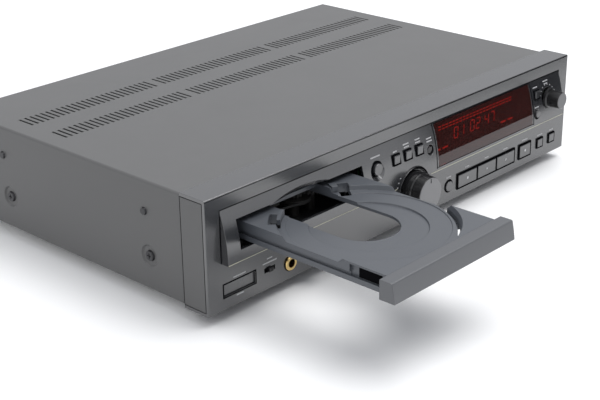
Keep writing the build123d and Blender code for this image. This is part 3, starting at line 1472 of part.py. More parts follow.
# Loader frame: a moulded tub with the tray's guides, gear posts and the traverse's hinge ears
drive_rear = drive_front + drive_length
loader_half = drive_half_width - drive_sheet - seat_gap
guide_inner = tray_half_width + slide_gap
guide_outer = guide_inner + guide_sheet
ledge_inner = tray_half_width - rail_width - seat_gap
ledge_high = rail_low - slide_gap
lip_middle = (groove_low + groove_high) / 2
with BuildPart() as loader_frame:
    with BuildSketch(at_height(loader_floor_low)):
        level_block(-loader_half, loader_half, drive_front, drive_rear)
    extrude(amount=loader_wall_high - loader_floor_low)
    with BuildSketch(at_height(loader_floor_high)):
        level_block(-loader_half + loader_wall, loader_half - loader_wall,
                    drive_front, drive_rear - loader_wall)
    extrude(amount=loader_wall_high - loader_floor_high, mode=Mode.SUBTRACT)
    for side in (-1, 1):
        edges_in = sorted((side * guide_inner, side * guide_outer))
        with BuildSketch(at_height(loader_floor_high)):
            level_block(*edges_in, drive_front, drive_rear - loader_wall)
        extrude(amount=groove_high + guide_rise - loader_floor_high)
        ledge = sorted((side * ledge_inner, side * guide_inner))
        with BuildSketch(at_height(ledge_high - loader_wall)):
            level_block(*ledge, drive_front, drive_rear - loader_wall)
        extrude(amount=loader_wall)
        lip = sorted((side * (guide_inner - groove_depth), side * guide_inner))
        with BuildSketch(at_height(lip_middle - guide_lip / 2)):
            level_block(*lip, drive_front, drive_rear - loader_wall)
        extrude(amount=guide_lip)
        ribs = sorted((side * guide_outer, side * (loader_half - loader_wall)))
        for depth in loader_rib_depths:
            with BuildSketch(at_height(loader_floor_high)):
                level_block(*ribs, depth, depth + loader_wall)
            extrude(amount=groove_high - loader_floor_high)
        ear = sorted((side * ear_inner, side * (ear_inner + ear_width)))
        with BuildSketch(at_height(loader_floor_high)):
            level_block(*ear, traverse_hinge - ear_width, traverse_hinge + ear_width)
        extrude(amount=traverse_low + traverse_plate + traverse_pin_radius + ear_round - loader_floor_high)
    with BuildSketch(at_height(loader_floor_low)):
        level_block(-traverse_opening_half, traverse_opening_half, *traverse_opening)
    extrude(amount=loader_floor_high - loader_floor_low, mode=Mode.SUBTRACT)
    hinge_z = base_z + traverse_low + traverse_plate / 2
    for side in (-1, 1):
        with BuildSketch(Plane.YZ.offset(tray_x + side * ear_inner)):
            with Locations((hinge_y, hinge_z)):
                Circle(traverse_pin_radius + shaft_gap)
        extrude(amount=side * ear_width, mode=Mode.SUBTRACT)
    with BuildSketch(at_height(loader_floor_high)):
        for x in (drive_gear_x, pinion_x):
            with Locations((tray_x + x, gear_y)):
                Circle(gear_post_radius)
    extrude(amount=gear_high - loader_floor_high)
    with BuildSketch(at_height(loader_floor_high)):
        level_block(-cam_guide_half, cam_guide_half, cam_front - slide_gap - cam_rib, cam_front - slide_gap)
        level_block(-cam_guide_half, cam_guide_half, cam_front + cam_plate + slide_gap, traverse_opening[0])
    extrude(amount=loader_wall)
loader_frame.part.label = "loader_frame"
export_step(loader_frame.part, "parts/loader_frame.step")

# Drive cover: a thin folded sheet over the loader frame
with BuildPart() as drive_cover:
    with BuildSketch(at_depth(drive_front)):
        with Locations((tray_x, base_z + (drive_low + drive_high) / 2)):
            Rectangle(2 * drive_half_width, drive_high - drive_low)
        with Locations((tray_x, base_z + (drive_low + drive_high) / 2 - drive_sheet)):
            Rectangle(2 * (drive_half_width - drive_sheet), drive_high - drive_low, mode=Mode.SUBTRACT)
    extrude(amount=-drive_length)
drive_cover.part.label = "drive_cover"
export_step(drive_cover.part, "parts/drive_cover.step")

# Drive brackets: folded sheets that carry the drive above the pan
with BuildPart() as drive_brackets:
    for side in (-1, 1):
        web = sorted((side * drive_half_width, side * (drive_half_width + bracket_sheet)))
        foot = sorted((side * drive_half_width, side * (drive_half_width + bracket_foot)))
        with BuildSketch(Plane.XY.offset(pan_floor)):
            level_block(*web, bracket_front, bracket_front + bracket_length)
        extrude(amount=base_z + loader_wall_high - pan_floor)
        with BuildSketch(Plane.XY.offset(pan_floor)):
            level_block(*foot, bracket_front, bracket_front + bracket_length)
        extrude(amount=bracket_sheet)
drive_brackets.part.label = "drive_brackets"
export_step(drive_brackets.part, "parts/drive_brackets.step")

# Clamp bridge across the loader frame, with the opening for the clamper
with BuildPart() as clamp_bridge:
    with BuildSketch(at_height(bridge_low)):
        with Locations((tray_x, spindle_y)):
            Rectangle(2 * loader_half, bridge_width)
            Circle(clamper_hub_radius + slide_gap, mode=Mode.SUBTRACT)
    extrude(amount=bridge_sheet)
clamp_bridge.part.label = "clamp_bridge"
export_step(clamp_bridge.part, "parts/clamp_bridge.step")

# Clamper: hangs by its flange in the bridge and presses the disc on the turntable
clamper_high = bridge_low + bridge_sheet + slide_gap
with BuildPart() as clamper:
    with BuildSketch(at_height(clamper_low)):
        with Locations((tray_x, spindle_y)):
            Circle(clamper_hub_radius)
            Circle(turntable_hub_radius + slide_gap, mode=Mode.SUBTRACT)
    extrude(amount=clamper_high - clamper_low)
    with BuildSketch(at_height(clamper_high)):
        with Locations((tray_x, spindle_y)):
            Circle(clamper_radius)
    extrude(amount=clamper_flange)
clamper.part.label = "clamper"
export_step(clamper.part, "parts/clamper.step")

# Cam slider: its sloping slot lifts the traverse's front pin
spindle_reach = hinge_y - spindle_y
traverse_angle = degrees(asin(traverse_drop / spindle_reach))
cam_pin_reach = traverse_hinge - cam_front - cam_plate / 2
cam_pin_drop = cam_pin_reach * sin(radians(traverse_angle))
cam_slot_radius = cam_pin_radius + slide_gap
with BuildPart() as cam_slider:
    with BuildSketch(at_depth(cam_front)):
        with Locations((tray_x + (cam_left + cam_right) / 2,
                        base_z + (loader_floor_high + slide_gap + cam_high) / 2)):
            Rectangle(cam_right - cam_left, cam_high - loader_floor_high - slide_gap)
    extrude(amount=-cam_plate)
    slot_start = (tray_x + cam_pin_from_centre, base_z + cam_pin_height - cam_pin_drop)
    slot_end = (slot_start[0] - cam_travel, slot_start[1] + cam_pin_drop)
    with BuildSketch(at_depth(cam_front)):
        with Locations(((slot_start[0] + slot_end[0]) / 2, (slot_start[1] + slot_end[1]) / 2)):
            SlotCenterToCenter(hypot(cam_travel, cam_pin_drop), 2 * cam_slot_radius,
                               rotation=-degrees(atan(cam_pin_drop / cam_travel)))
    extrude(amount=-cam_plate, mode=Mode.SUBTRACT)
cam_slider.part.label = "cam_slider"
export_step(cam_slider.part, "parts/cam_slider.step")

# The traverse and what rides on it are drawn level, then tilted down about the hinge
tilt_axis = Axis((tray_x, hinge_y, hinge_z), (1, 0, 0))


def tilted(piece, name):
    """Tilt a finished piece down to the rest pose, label it and write it out."""
    lowered = piece.part.rotate(tilt_axis, traverse_angle)
    lowered.label = name
    export_step(lowered, f"parts/{name}.step")


plate_high = traverse_low + traverse_plate
block_half = rod_radius + rod_block_wall
block_high = rod_height + block_half - rod_block_cut
screw_x = lead_screw_from_centre
pivot_step = 3.0
with BuildPart() as traverse_frame:
    with BuildSketch(at_height(traverse_low)):
        level_block(-traverse_half_width, traverse_half_width, traverse_front, traverse_rear)
        with Locations((tray_x, spindle_y)):
            Circle(spindle_hole_radius, mode=Mode.SUBTRACT)
        with Locations((tray_x, face_y + (sled_front + rod_rear - rod_block) / 2)):
            Rectangle(2 * (rod_from_centre - block_half), rod_rear - rod_block - sled_front,
                      mode=Mode.SUBTRACT)
        with Locations((tray_x + screw_x - sled_motor_room,
                        face_y + sled_motor_front + sled_motor_length / 2)):
            Rectangle(2 * (sled_motor_radius + sled_motor_room), sled_motor_length + sled_motor_room / 2,
                      mode=Mode.SUBTRACT)
    extrude(amount=traverse_plate)
    for side in (-1, 1):
        for depth in (rod_front, rod_rear - rod_block):
            with BuildSketch(at_height(plate_high)):
                level_block(side * rod_from_centre - block_half, side * rod_from_centre + block_half,
                            depth, depth + rod_block)
            extrude(amount=block_high - plate_high)
        with BuildSketch(Plane.YZ.offset(tray_x + side * (traverse_half_width - pivot_step))):
            with Locations((hinge_y, hinge_z)):
                Circle(traverse_pin_radius + slide_gap)
        extrude(amount=side * (ear_inner - slide_gap - traverse_half_width + pivot_step))
        with BuildSketch(Plane.YZ.offset(tray_x + side * traverse_half_width)):
            with Locations((hinge_y, hinge_z)):
                Circle(traverse_pin_radius)
        extrude(amount=side * (ear_inner + ear_width - ear_round - traverse_half_width))
    with BuildSketch(at_height(plate_high)):
        level_block(screw_x - block_half, screw_x + block_half, rod_front, rod_front + rod_block)
    extrude(amount=block_high - plate_high)
    with BuildSketch(at_depth(rod_front)):
        with Locations((tray_x - rod_from_centre, base_z + rod_height),
                       (tray_x + rod_from_centre, base_z + rod_height)):
            Circle(rod_radius)
    extrude(amount=-(rod_rear - rod_front), mode=Mode.SUBTRACT)
    with BuildSketch(at_depth(rod_front)):
        with Locations((tray_x + screw_x, base_z + rod_height)):
            Circle(lead_screw_radius + shaft_gap)
    extrude(amount=-rod_block, mode=Mode.SUBTRACT)
    with BuildSketch(at_height(plate_high)):
        level_block(cam_pin_from_centre - pivot_step, cam_pin_from_centre + pivot_step,
                    traverse_front, traverse_front + pivot_step)
    extrude(amount=cam_pin_height + cam_pin_radius - plate_high)
    with BuildSketch(at_depth(cam_front - slide_gap)):
        with Locations((tray_x + cam_pin_from_centre, base_z + cam_pin_height)):
            Circle(cam_pin_radius)
    extrude(amount=-(traverse_front - cam_front + slide_gap))
tilted(traverse_frame, "traverse_frame")

with BuildPart() as spindle_motor:
    with BuildSketch(at_height(traverse_low - spindle_motor_height)):
        with Locations((tray_x, spindle_y)):
            Circle(spindle_motor_radius)
    extrude(amount=spindle_motor_height)
    with BuildSketch(at_height(traverse_low - spindle_motor_height + spindle_seat)):
        with Locations((tray_x, spindle_y)):
            Circle(spindle_radius + shaft_gap)
    extrude(amount=spindle_motor_height, mode=Mode.SUBTRACT)
tilted(spindle_motor, "spindle_motor")

disc_under = turntable_seat - turntable_thickness
spindle_low = traverse_low - spindle_motor_height + spindle_seat + slide_gap
with BuildPart() as turntable:
    with BuildSketch(at_height(spindle_low)):
        with Locations((tray_x, spindle_y)):
            Circle(spindle_radius)
    extrude(amount=disc_under - spindle_low)
    with BuildSketch(at_height(plate_high + slide_gap)):
        with Locations((tray_x, spindle_y)):
            Circle(spindle_collar_radius)
    extrude(amount=disc_under - plate_high - slide_gap)
    with BuildSketch(at_height(disc_under)):
        with Locations((tray_x, spindle_y)):
            Circle(turntable_radius)
    extrude(amount=turntable_thickness)
    with BuildSketch(at_height(turntable_seat)):
        with Locations((tray_x, spindle_y)):
            Circle(turntable_hub_radius)
    extrude(amount=turntable_hub_height, taper=turntable_hub_taper)
tilted(turntable, "turntable")

with BuildPart() as guide_rods:
    with BuildSketch(at_depth(rod_front)):
        with Locations((tray_x - rod_from_centre, base_z + rod_height),
                       (tray_x + rod_from_centre, base_z + rod_height)):
            Circle(rod_radius)
    extrude(amount=-(rod_rear - rod_front))
tilted(guide_rods, "guide_rods")

lens_y = face_y + sled_front + lens_from_sled_front
with BuildPart() as pickup_sled:
    with BuildSketch(at_height(sled_low)):
        level_block(-sled_half_width, sled_half_width, sled_front, sled_front + sled_length)
        level_block(screw_x - block_half, -sled_half_width, sled_front, sled_front + nut_length)
    extrude(amount=sled_high - sled_low)
    with BuildSketch(at_height(sled_high)):
        with Locations((tray_x, lens_y + rod_block_wall)):
            Rectangle(*turret_size)
    extrude(amount=turret_high - sled_high)
    with BuildSketch(at_height(turret_high - turret_well)):
        with Locations((tray_x, lens_y)):
            Circle(lens_radius + slide_gap)
    extrude(amount=turret_well, mode=Mode.SUBTRACT)
    with BuildSketch(at_depth(sled_front)):
        with Locations((tray_x - rod_from_centre, base_z + rod_height),
                       (tray_x + rod_from_centre, base_z + rod_height),
                       (tray_x + screw_x, base_z + rod_height)):
            Circle(rod_radius + shaft_gap)
    extrude(amount=-sled_length, mode=Mode.SUBTRACT)
tilted(pickup_sled, "pickup_sled")

with BuildPart() as objective_lens:
    with BuildSketch(at_height(turret_high - lens_seat)):
        with Locations((tray_x, lens_y)):
            Circle(lens_radius)
    extrude(amount=lens_high - lens_step - turret_high + lens_seat)
    with BuildSketch(at_height(lens_high - lens_step)):
        with Locations((tray_x, lens_y)):
            Circle(lens_radius / 2)
    extrude(amount=lens_step, taper=lens_taper)
tilted(objective_lens, "objective_lens")

with BuildPart() as sled_motor:
    with BuildSketch(at_depth(sled_motor_front)):
        with Locations((tray_x + screw_x, base_z + rod_height)):
            Circle(sled_motor_radius)
    extrude(amount=-sled_motor_length)
    with BuildSketch(at_depth(sled_motor_front)):
        with Locations((tray_x + screw_x, base_z + rod_height)):
            Circle(lead_screw_radius + shaft_gap)
    extrude(amount=-sled_motor_length / 2, mode=Mode.SUBTRACT)
tilted(sled_motor, "sled_motor")

with BuildPart() as lead_screw:
    with BuildSketch(at_depth(rod_front)):
        with Locations((tray_x + screw_x, base_z + rod_height)):
            Circle(lead_screw_radius)
    extrude(amount=-(sled_motor_front + sled_motor_length / 2 - slide_gap - rod_front))
tilted(lead_screw, "lead_screw")
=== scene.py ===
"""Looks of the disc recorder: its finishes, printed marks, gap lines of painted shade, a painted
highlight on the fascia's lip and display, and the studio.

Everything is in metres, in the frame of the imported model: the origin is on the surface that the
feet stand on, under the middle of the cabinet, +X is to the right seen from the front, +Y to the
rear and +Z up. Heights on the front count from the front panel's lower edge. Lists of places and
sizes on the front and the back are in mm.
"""
import math

import bmesh
import bpy
from mathutils import Matrix, Vector


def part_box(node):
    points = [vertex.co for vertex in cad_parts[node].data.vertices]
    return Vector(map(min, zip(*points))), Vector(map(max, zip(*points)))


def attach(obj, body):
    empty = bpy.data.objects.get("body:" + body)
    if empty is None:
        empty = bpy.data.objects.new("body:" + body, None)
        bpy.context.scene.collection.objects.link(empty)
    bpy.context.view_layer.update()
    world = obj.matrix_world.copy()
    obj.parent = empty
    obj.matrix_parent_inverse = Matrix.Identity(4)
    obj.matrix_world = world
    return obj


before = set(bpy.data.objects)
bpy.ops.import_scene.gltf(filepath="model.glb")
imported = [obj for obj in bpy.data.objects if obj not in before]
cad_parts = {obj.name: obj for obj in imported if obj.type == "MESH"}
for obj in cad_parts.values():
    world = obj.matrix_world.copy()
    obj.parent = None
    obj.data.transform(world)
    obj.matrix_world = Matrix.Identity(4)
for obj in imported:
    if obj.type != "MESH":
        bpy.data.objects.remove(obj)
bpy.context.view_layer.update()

MM = 0.001

# Sizes shared with the solids
face_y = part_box("front_panel")[0][1]
base_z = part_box("front_panel")[0][2]
panel_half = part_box("front_panel")[1][0]
panel_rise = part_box("front_panel")[1][2] - base_z
fascia_low = 35.7 * MM
fascia_high = 74.4 * MM
fascia_half = 204.0 * MM
fascia_bulge = 7.0 * MM
fascia_radius = 103.0 * MM
level_knob_middle = (-4.5, 29.5)
jog_middle = (181.8, 56.5)
eject_middle = (-46.3, 58.2)


# Places on the front

def on_panel(x, height, proud=0.0):
    """Point on the flat front."""
    return Vector((x, face_y - proud, base_z + height))


def fascia_depth(height):
    """Depth of the curved fascia behind the panel's face at a height, negative where proud."""
    rise = height - fascia_low
    return fascia_radius - fascia_bulge - math.sqrt(fascia_radius ** 2 - rise ** 2)


def on_fascia(x, height, proud=0.0):
    """Point on the curved fascia."""
    return Vector((x, face_y + fascia_depth(height) - proud, base_z + height))


def fascia_lean(height):
    """How far the curved fascia leans back at a height, in radians."""
    return math.asin((height - fascia_low) / fascia_radius)


def on_circle(middle, radius, turn):
    """Place on a circle on the front, in metres, from sizes in mm and a turn in degrees."""
    return ((middle[0] + radius * math.cos(math.radians(turn))) * MM,
            (middle[1] + radius * math.sin(math.radians(turn))) * MM)


# Camera, at the photograph's place and angle
camera_place = (-0.74855, -0.72556, 0.4280)
camera_yaw = math.radians(46.846)
camera_pitch = math.radians(22.955)
camera_roll = math.radians(-0.803)
camera_lens = 78.95
camera_sensor = 36.0


def make_camera():
    """The camera stands left of the front and looks down along the tray."""
    data = bpy.data.cameras.new("camera")
    data.lens = camera_lens
    data.sensor_width = camera_sensor
    data.sensor_fit = "HORIZONTAL"
    data.clip_start = 0.02
    data.clip_end = 50.0
    camera = bpy.data.objects.new("camera", data)
    turn = (Matrix.Rotation(-camera_yaw, 4, "Z")
            @ Matrix.Rotation(math.pi / 2 - camera_pitch, 4, "X")
            @ Matrix.Rotation(camera_roll, 4, "Z"))
    camera.matrix_world = Matrix.Translation(camera_place) @ turn
    bpy.context.scene.collection.objects.link(camera)
    bpy.context.scene.camera = camera


# Shader nodes

def set_input(tree, socket, value):
    """Gives a socket a number or colour, or links it to another node's output."""
    if isinstance(value, bpy.types.NodeSocket):
        tree.links.new(value, socket)
    else:
        socket.default_value = value


def add_math(tree, operation, *values, clamp=False):
    """Output of a math node over numbers or outputs."""
    node = tree.nodes.new("ShaderNodeMath")
    node.operation = operation
    node.use_clamp = clamp
    for socket, value in zip(node.inputs, values):
        set_input(tree, socket, value)
    return node.outputs[0]


def add_mix(tree, factor, first, second):
    """Output of a mix of two colours."""
    node = tree.nodes.new("ShaderNodeMix")
    node.data_type = "RGBA"
    for name, value in (("Factor", factor), ("A", first), ("B", second)):
        set_input(tree, node.inputs[name], value)
    return node.outputs["Result"]


def add_noise(tree, place, scale, detail):
    """Output of a noise texture at a place."""
    node = tree.nodes.new("ShaderNodeTexNoise")
    for name, value in (("Vector", place), ("Scale", scale), ("Detail", detail)):
        set_input(tree, node.inputs[name], value)
    return node.outputs["Fac"]


def add_place(tree):
    """Place on the object, which is also its place in the model's frame at rest."""
    return tree.nodes.new("ShaderNodeTexCoord").outputs["Object"]


def add_axes(tree, vector):
    """X, Y and Z of a vector."""
    node = tree.nodes.new("ShaderNodeSeparateXYZ")
    tree.links.new(vector, node.inputs[0])
    return node.outputs


def add_group(tree, group, **values):
    """Outputs of a group node, with its inputs given by name."""
    node = tree.nodes.new("ShaderNodeGroup")
    node.node_tree = group
    for name, value in values.items():
        set_input(tree, node.inputs[name], value)
    return node.outputs


def new_group(name, inputs, outputs):
    """A group with sockets of given kinds, the outputs of its start and the inputs of its end."""
    group = bpy.data.node_groups.new(name, "ShaderNodeTree")
    for way, sockets in (("INPUT", inputs), ("OUTPUT", outputs)):
        for label, kind in sockets.items():
            group.interface.new_socket(name=label, in_out=way, socket_type="NodeSocket" + kind)
    start, end = group.nodes.new("NodeGroupInput"), group.nodes.new("NodeGroupOutput")
    return group, start.outputs, end.inputs


def make_grain_group():
    """Fine grain of moulded plastic or paint: a mottled colour, a roughness and a height."""
    group, given, made = new_group(
        "fine grain",
        {"Color": "Color", "Scale": "Float", "Mottle": "Float", "Roughness": "Float",
         "Spread": "Float"},
        {"Color": "Color", "Roughness": "Float", "Height": "Float"})
    place = add_place(group)
    fine = add_noise(group, place, scale=given["Scale"], detail=3.0)
    broad = add_noise(group, place, scale=14.0, detail=4.0)
    shade = add_math(group, "SUBTRACT", broad, 0.5)
    tint = group.nodes.new("ShaderNodeVectorMath")
    tint.operation = "SCALE"
    set_input(group, tint.inputs[0], given["Color"])
    set_input(group, tint.inputs["Scale"],
              add_math(group, "MULTIPLY_ADD", shade, given["Mottle"], 1.0))
    rough = add_math(group, "MULTIPLY_ADD", shade, given["Spread"], given["Roughness"])
    for name, value in (("Color", tint.outputs[0]), ("Roughness", rough), ("Height", fine)):
        set_input(group, made[name], value)
    return group


def make_dust_group():
    """Light dust on faces that look up: a mask, stronger where the noise is."""
    group, given, made = new_group("light dust", {"Amount": "Float"}, {"Mask": "Float"})
    normal = group.nodes.new("ShaderNodeNewGeometry").outputs["Normal"]
    specks = add_noise(group, add_place(group), scale=60.0, detail=8.0)
    up = add_math(group, "MULTIPLY", add_axes(group, normal)["Z"], specks, clamp=True)
    set_input(group, made["Mask"], add_math(group, "MULTIPLY", up, given["Amount"]))
    return group


def make_spot_group():
    """A round spot seen from the rear: a mask of what lies nearer to its axis than its radius."""
    group, given, made = new_group("round spot", {"X": "Float", "Z": "Float", "Radius": "Float"},
                                   {"Mask": "Float"})
    axes = add_axes(group, add_place(group))
    away = group.nodes.new("ShaderNodeCombineXYZ")
    for axis in ("X", "Z"):
        set_input(group, away.inputs[axis], add_math(group, "SUBTRACT", axes[axis], given[axis]))
    length = group.nodes.new("ShaderNodeVectorMath")
    length.operation = "LENGTH"
    set_input(group, length.inputs[0], away.outputs[0])
    inside = add_math(group, "LESS_THAN", length.outputs["Value"], given["Radius"])
    set_input(group, made["Mask"], inside)
    return group


fine_grain = make_grain_group()
light_dust = make_dust_group()
round_spot = make_spot_group()
dust_colour = (0.42, 0.42, 0.42, 1.0)
grain_height = 0.1 * MM
brushed_height = 0.05 * MM


# Materials

def surface(name, colour, roughness, grain=900.0, depth=0.02, mottle=0.1, spread=0.08, dust=0.0,
            metallic=0.0, ior=1.5, edge=0.0):
    """A material with grain, dust and soft edges. Its constants stay on the shader's sockets."""
    material = bpy.data.materials.new(name)
    material.use_nodes = True
    tree = material.node_tree
    shader = tree.nodes["Principled BSDF"]
    texture = add_group(tree, fine_grain, Color=(*colour, 1.0), Scale=grain, Mottle=mottle,
                        Roughness=roughness, Spread=spread)
    dusty = add_group(tree, light_dust, Amount=dust)
    bump = tree.nodes.new("ShaderNodeBump")
    bump.inputs["Strength"].default_value = depth
    bump.inputs["Distance"].default_value = grain_height
    set_input(tree, bump.inputs["Height"], texture["Height"])
    if edge:
        soft = tree.nodes.new("ShaderNodeBevel")
        soft.samples = 6
        soft.inputs["Radius"].default_value = edge
        set_input(tree, bump.inputs["Normal"], soft.outputs["Normal"])
    base = add_mix(tree, dusty["Mask"], texture["Color"], dust_colour)
    for socket, value in (("Base Color", base), ("Metallic", metallic), ("IOR", ior),
                          ("Roughness", texture["Roughness"]), ("Normal", bump.outputs["Normal"])):
        set_input(tree, shader.inputs[socket], value)
    return material


def recolour(material, mask, colour):
    """Lays a second colour over a material's own where a mask says so."""
    tree = material.node_tree
    base = tree.nodes["Principled BSDF"].inputs["Base Color"]
    before = base.links[0].from_socket
    set_input(tree, base, add_mix(tree, mask, before, (*colour, 1.0)))


def add_face_colour(material, colour, axis, limit, sign):
    """Recolours what lies beyond a limit along one axis, such as a painted reflection on the flat
    end of a knob.
    """
    tree = material.node_tree
    along = add_axes(tree, add_place(tree))[axis]
    recolour(material, add_math(tree, "GREATER_THAN" if sign > 0 else "LESS_THAN", along, limit),
             colour)


def add_spots(material, colour, radius, middles):
    """Recolours round spots seen from the rear. Their radius and middles are in mm."""
    tree = material.node_tree
    joined = 0.0
    for x, z in middles:
        spot = add_group(tree, round_spot, X=x * MM, Z=z * MM, Radius=radius * MM)
        joined = add_math(tree, "MAXIMUM", joined, spot["Mask"])
    recolour(material, joined, colour)


def make_brushed(name, colour, roughness, stretch):
    """Drawn or rolled metal: its height is grain stretched along one axis."""
    material = surface(name, colour, roughness, metallic=1.0, depth=0.08, mottle=0.06)
    tree = material.node_tree
    mapping = tree.nodes.new("ShaderNodeMapping")
    mapping.inputs["Scale"].default_value = stretch
    set_input(tree, mapping.inputs["Vector"], add_place(tree))
    lines = add_noise(tree, mapping.outputs["Vector"], scale=400.0, detail=4.0)
    bump = tree.nodes["Bump"]
    bump.inputs["Distance"].default_value = brushed_height
    set_input(tree, bump.inputs["Height"], lines)
    return material


def make_tinted_glass():
    """The display's window: dark red, clear enough to show the segments behind it."""
    material = surface("window tint", (0.13, 0.036, 0.032), 0.04, mottle=0.02, spread=0.01,
                       depth=0.0)
    shader = material.node_tree.nodes["Principled BSDF"]
    shader.inputs["Transmission Weight"].default_value = 0.85
    return material


def make_glow(name, colour, strength):
    """Lit phosphor, a little uneven over each segment."""
    material = surface(name, colour, 0.6, mottle=0.5)
    tree = material.node_tree
    shader = tree.nodes["Principled BSDF"]
    shader.inputs["Emission Strength"].default_value = strength
    set_input(tree, shader.inputs["Emission Color"],
              shader.inputs["Base Color"].links[0].from_socket)
    return material


def make_board_material(name):
    """Solder mask with the lighter copper of its tracks under it."""
    material = surface(name, (0.03, 0.12, 0.05), 0.35, mottle=0.15)
    tree = material.node_tree
    tracks = tree.nodes.new("ShaderNodeTexBrick")
    tracks.inputs["Scale"].default_value = 90.0
    tracks.inputs["Mortar Size"].default_value = 0.03
    set_input(tree, tracks.inputs["Vector"], add_place(tree))
    recolour(material, tracks.outputs["Fac"], (0.07, 0.22, 0.09))
    return material


# Materials of this object
satin_ior = 2.14
cover_paint = surface("cover paint", (0.098, 0.098, 0.098), 0.42, grain=1600.0, depth=0.10,
                      mottle=0.05, dust=0.03, edge=0.5 * MM)
panel_plastic = surface("panel plastic", (0.024, 0.025, 0.028), 0.24, grain=1500.0, depth=0.04,
                        mottle=0.05, dust=0.01, ior=satin_ior, edge=0.6 * MM)
fascia_plastic = surface("fascia plastic", (0.020, 0.021, 0.024), 0.22, grain=1500.0, depth=0.04,
                         mottle=0.05, ior=satin_ior, edge=0.5 * MM)
bezel_plastic = surface("bezel plastic", (0.070, 0.074, 0.082), 0.36, grain=1500.0, depth=0.05,
                        ior=1.7, edge=0.6 * MM)
tray_plastic = surface("tray plastic", (0.066, 0.073, 0.085), 0.40, grain=1500.0, depth=0.06,
                       mottle=0.06, dust=0.02, ior=1.6, edge=0.5 * MM)
key_plastic = surface("key plastic", (0.024, 0.025, 0.028), 0.28, grain=1500.0, depth=0.04,
                      ior=satin_ior, edge=0.4 * MM)
knob_black = surface("knob black", (0.012, 0.012, 0.013), 0.20, mottle=0.05, edge=0.4 * MM)
jog_black = surface("jog black", (0.012, 0.012, 0.013), 0.24, mottle=0.05)
# Near-black paint standing for shade: painted shade in gaps, steps, recesses and the tray's side
# pocket
shade_paint = surface("shade paint", (0.005, 0.005, 0.006), 0.9, ior=1.05)
sensor_dark = surface("sensor dark", (0.008, 0.006, 0.007), 0.12, depth=0.0)
gold_plate = surface("gold plate", (0.83, 0.60, 0.25), 0.2, metallic=1.0, depth=0.0)
zinc_sheet = make_brushed("zinc sheet", (0.62, 0.62, 0.61), 0.35, (1.0, 12.0, 12.0))
bright_steel = make_brushed("bright steel", (0.72, 0.72, 0.73), 0.18, (14.0, 1.0, 14.0))
screw_black = surface("screw black", (0.045, 0.045, 0.048), 0.3, metallic=0.6, depth=0.01)
foot_black = surface("foot black", (0.02, 0.02, 0.021), 0.6)
rear_paint = surface("rear paint", (0.03, 0.03, 0.032), 0.5, grain=1600.0, depth=0.08)
jack_black = surface("jack black", (0.018, 0.018, 0.019), 0.35)
inlet_black = surface("inlet black", (0.016, 0.016, 0.017), 0.4)
pickup_black = surface("pickup black", (0.022, 0.022, 0.023), 0.4)
loader_black = surface("loader black", (0.02, 0.02, 0.021), 0.45)
gear_dark = surface("gear dark", (0.025, 0.024, 0.022), 0.45, depth=0.01)
gear_white = surface("gear white", (0.72, 0.71, 0.67), 0.4, depth=0.01)
motor_can = make_brushed("motor can", (0.66, 0.66, 0.67), 0.3, (12.0, 12.0, 1.0))
belt_rubber = surface("belt rubber", (0.015, 0.015, 0.015), 0.7)
lens_glass = surface("lens glass", (0.35, 0.55, 0.9), 0.05, depth=0.0)
window_tint = make_tinted_glass()
display_glass = surface("display glass", (0.012, 0.004, 0.004), 0.12, depth=0.0)
board_green = make_board_material("board green")
main_board_green = make_board_material("main board green")
power_board_green = make_board_material("power board green")
print_white = surface("print white", (0.55, 0.55, 0.56), 0.5, mottle=0.2)
# Pale paint for the painted highlight along the fascia's rounded lip
lip_highlight_paint = surface("lip highlight paint", (0.50, 0.49, 0.38), 0.3)
glow_red = make_glow("glow red", (1.0, 0.06, 0.03), 2.2)

# The flat ends of the level knob and of the jog dial are painted lighter than their sides: a
# painted reflection on their flat faces
tip_depth = 0.4 * MM
add_face_colour(knob_black, (0.20, 0.20, 0.205), "Y",
                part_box("level_knob_inner")[0][1] + tip_depth, -1)
add_face_colour(jog_black, (0.14, 0.14, 0.145), "Y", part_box("jog_dial")[0][1] + tip_depth, -1)

# Parts that stand on the boards are dark, or bare metal on the power board
board_thickness = 1.7 * MM
add_face_colour(main_board_green, (0.02, 0.02, 0.021), "Z",
                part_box("main_board")[0][2] + board_thickness, 1)
add_face_colour(power_board_green, (0.16, 0.14, 0.11), "Z",
                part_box("power_board")[0][2] + board_thickness, 1)

# Coloured ends of the round sockets, and their bores painted nearly black as painted shade in the
# holes
phono_across = (-150.0, -134.0, -112.0, -96.0)
digital_across = -64.0
socket_low, socket_high = 31.0, 47.0
socket_radius = 4.3
bore_radius = 1.9
add_spots(jack_black, (0.75, 0.75, 0.74), socket_radius, [(x, socket_high) for x in phono_across])
add_spots(jack_black, (0.55, 0.02, 0.02), socket_radius, [(x, socket_low) for x in phono_across])
add_spots(jack_black, (0.75, 0.26, 0.03), socket_radius,
          [(digital_across, z) for z in (socket_low, socket_high)])
# Painted shade: the bores are darkened nearly to black
add_spots(jack_black, (0.004, 0.004, 0.005), bore_radius,
          [(x, z) for x in (*phono_across, digital_across) for z in (socket_low, socket_high)])

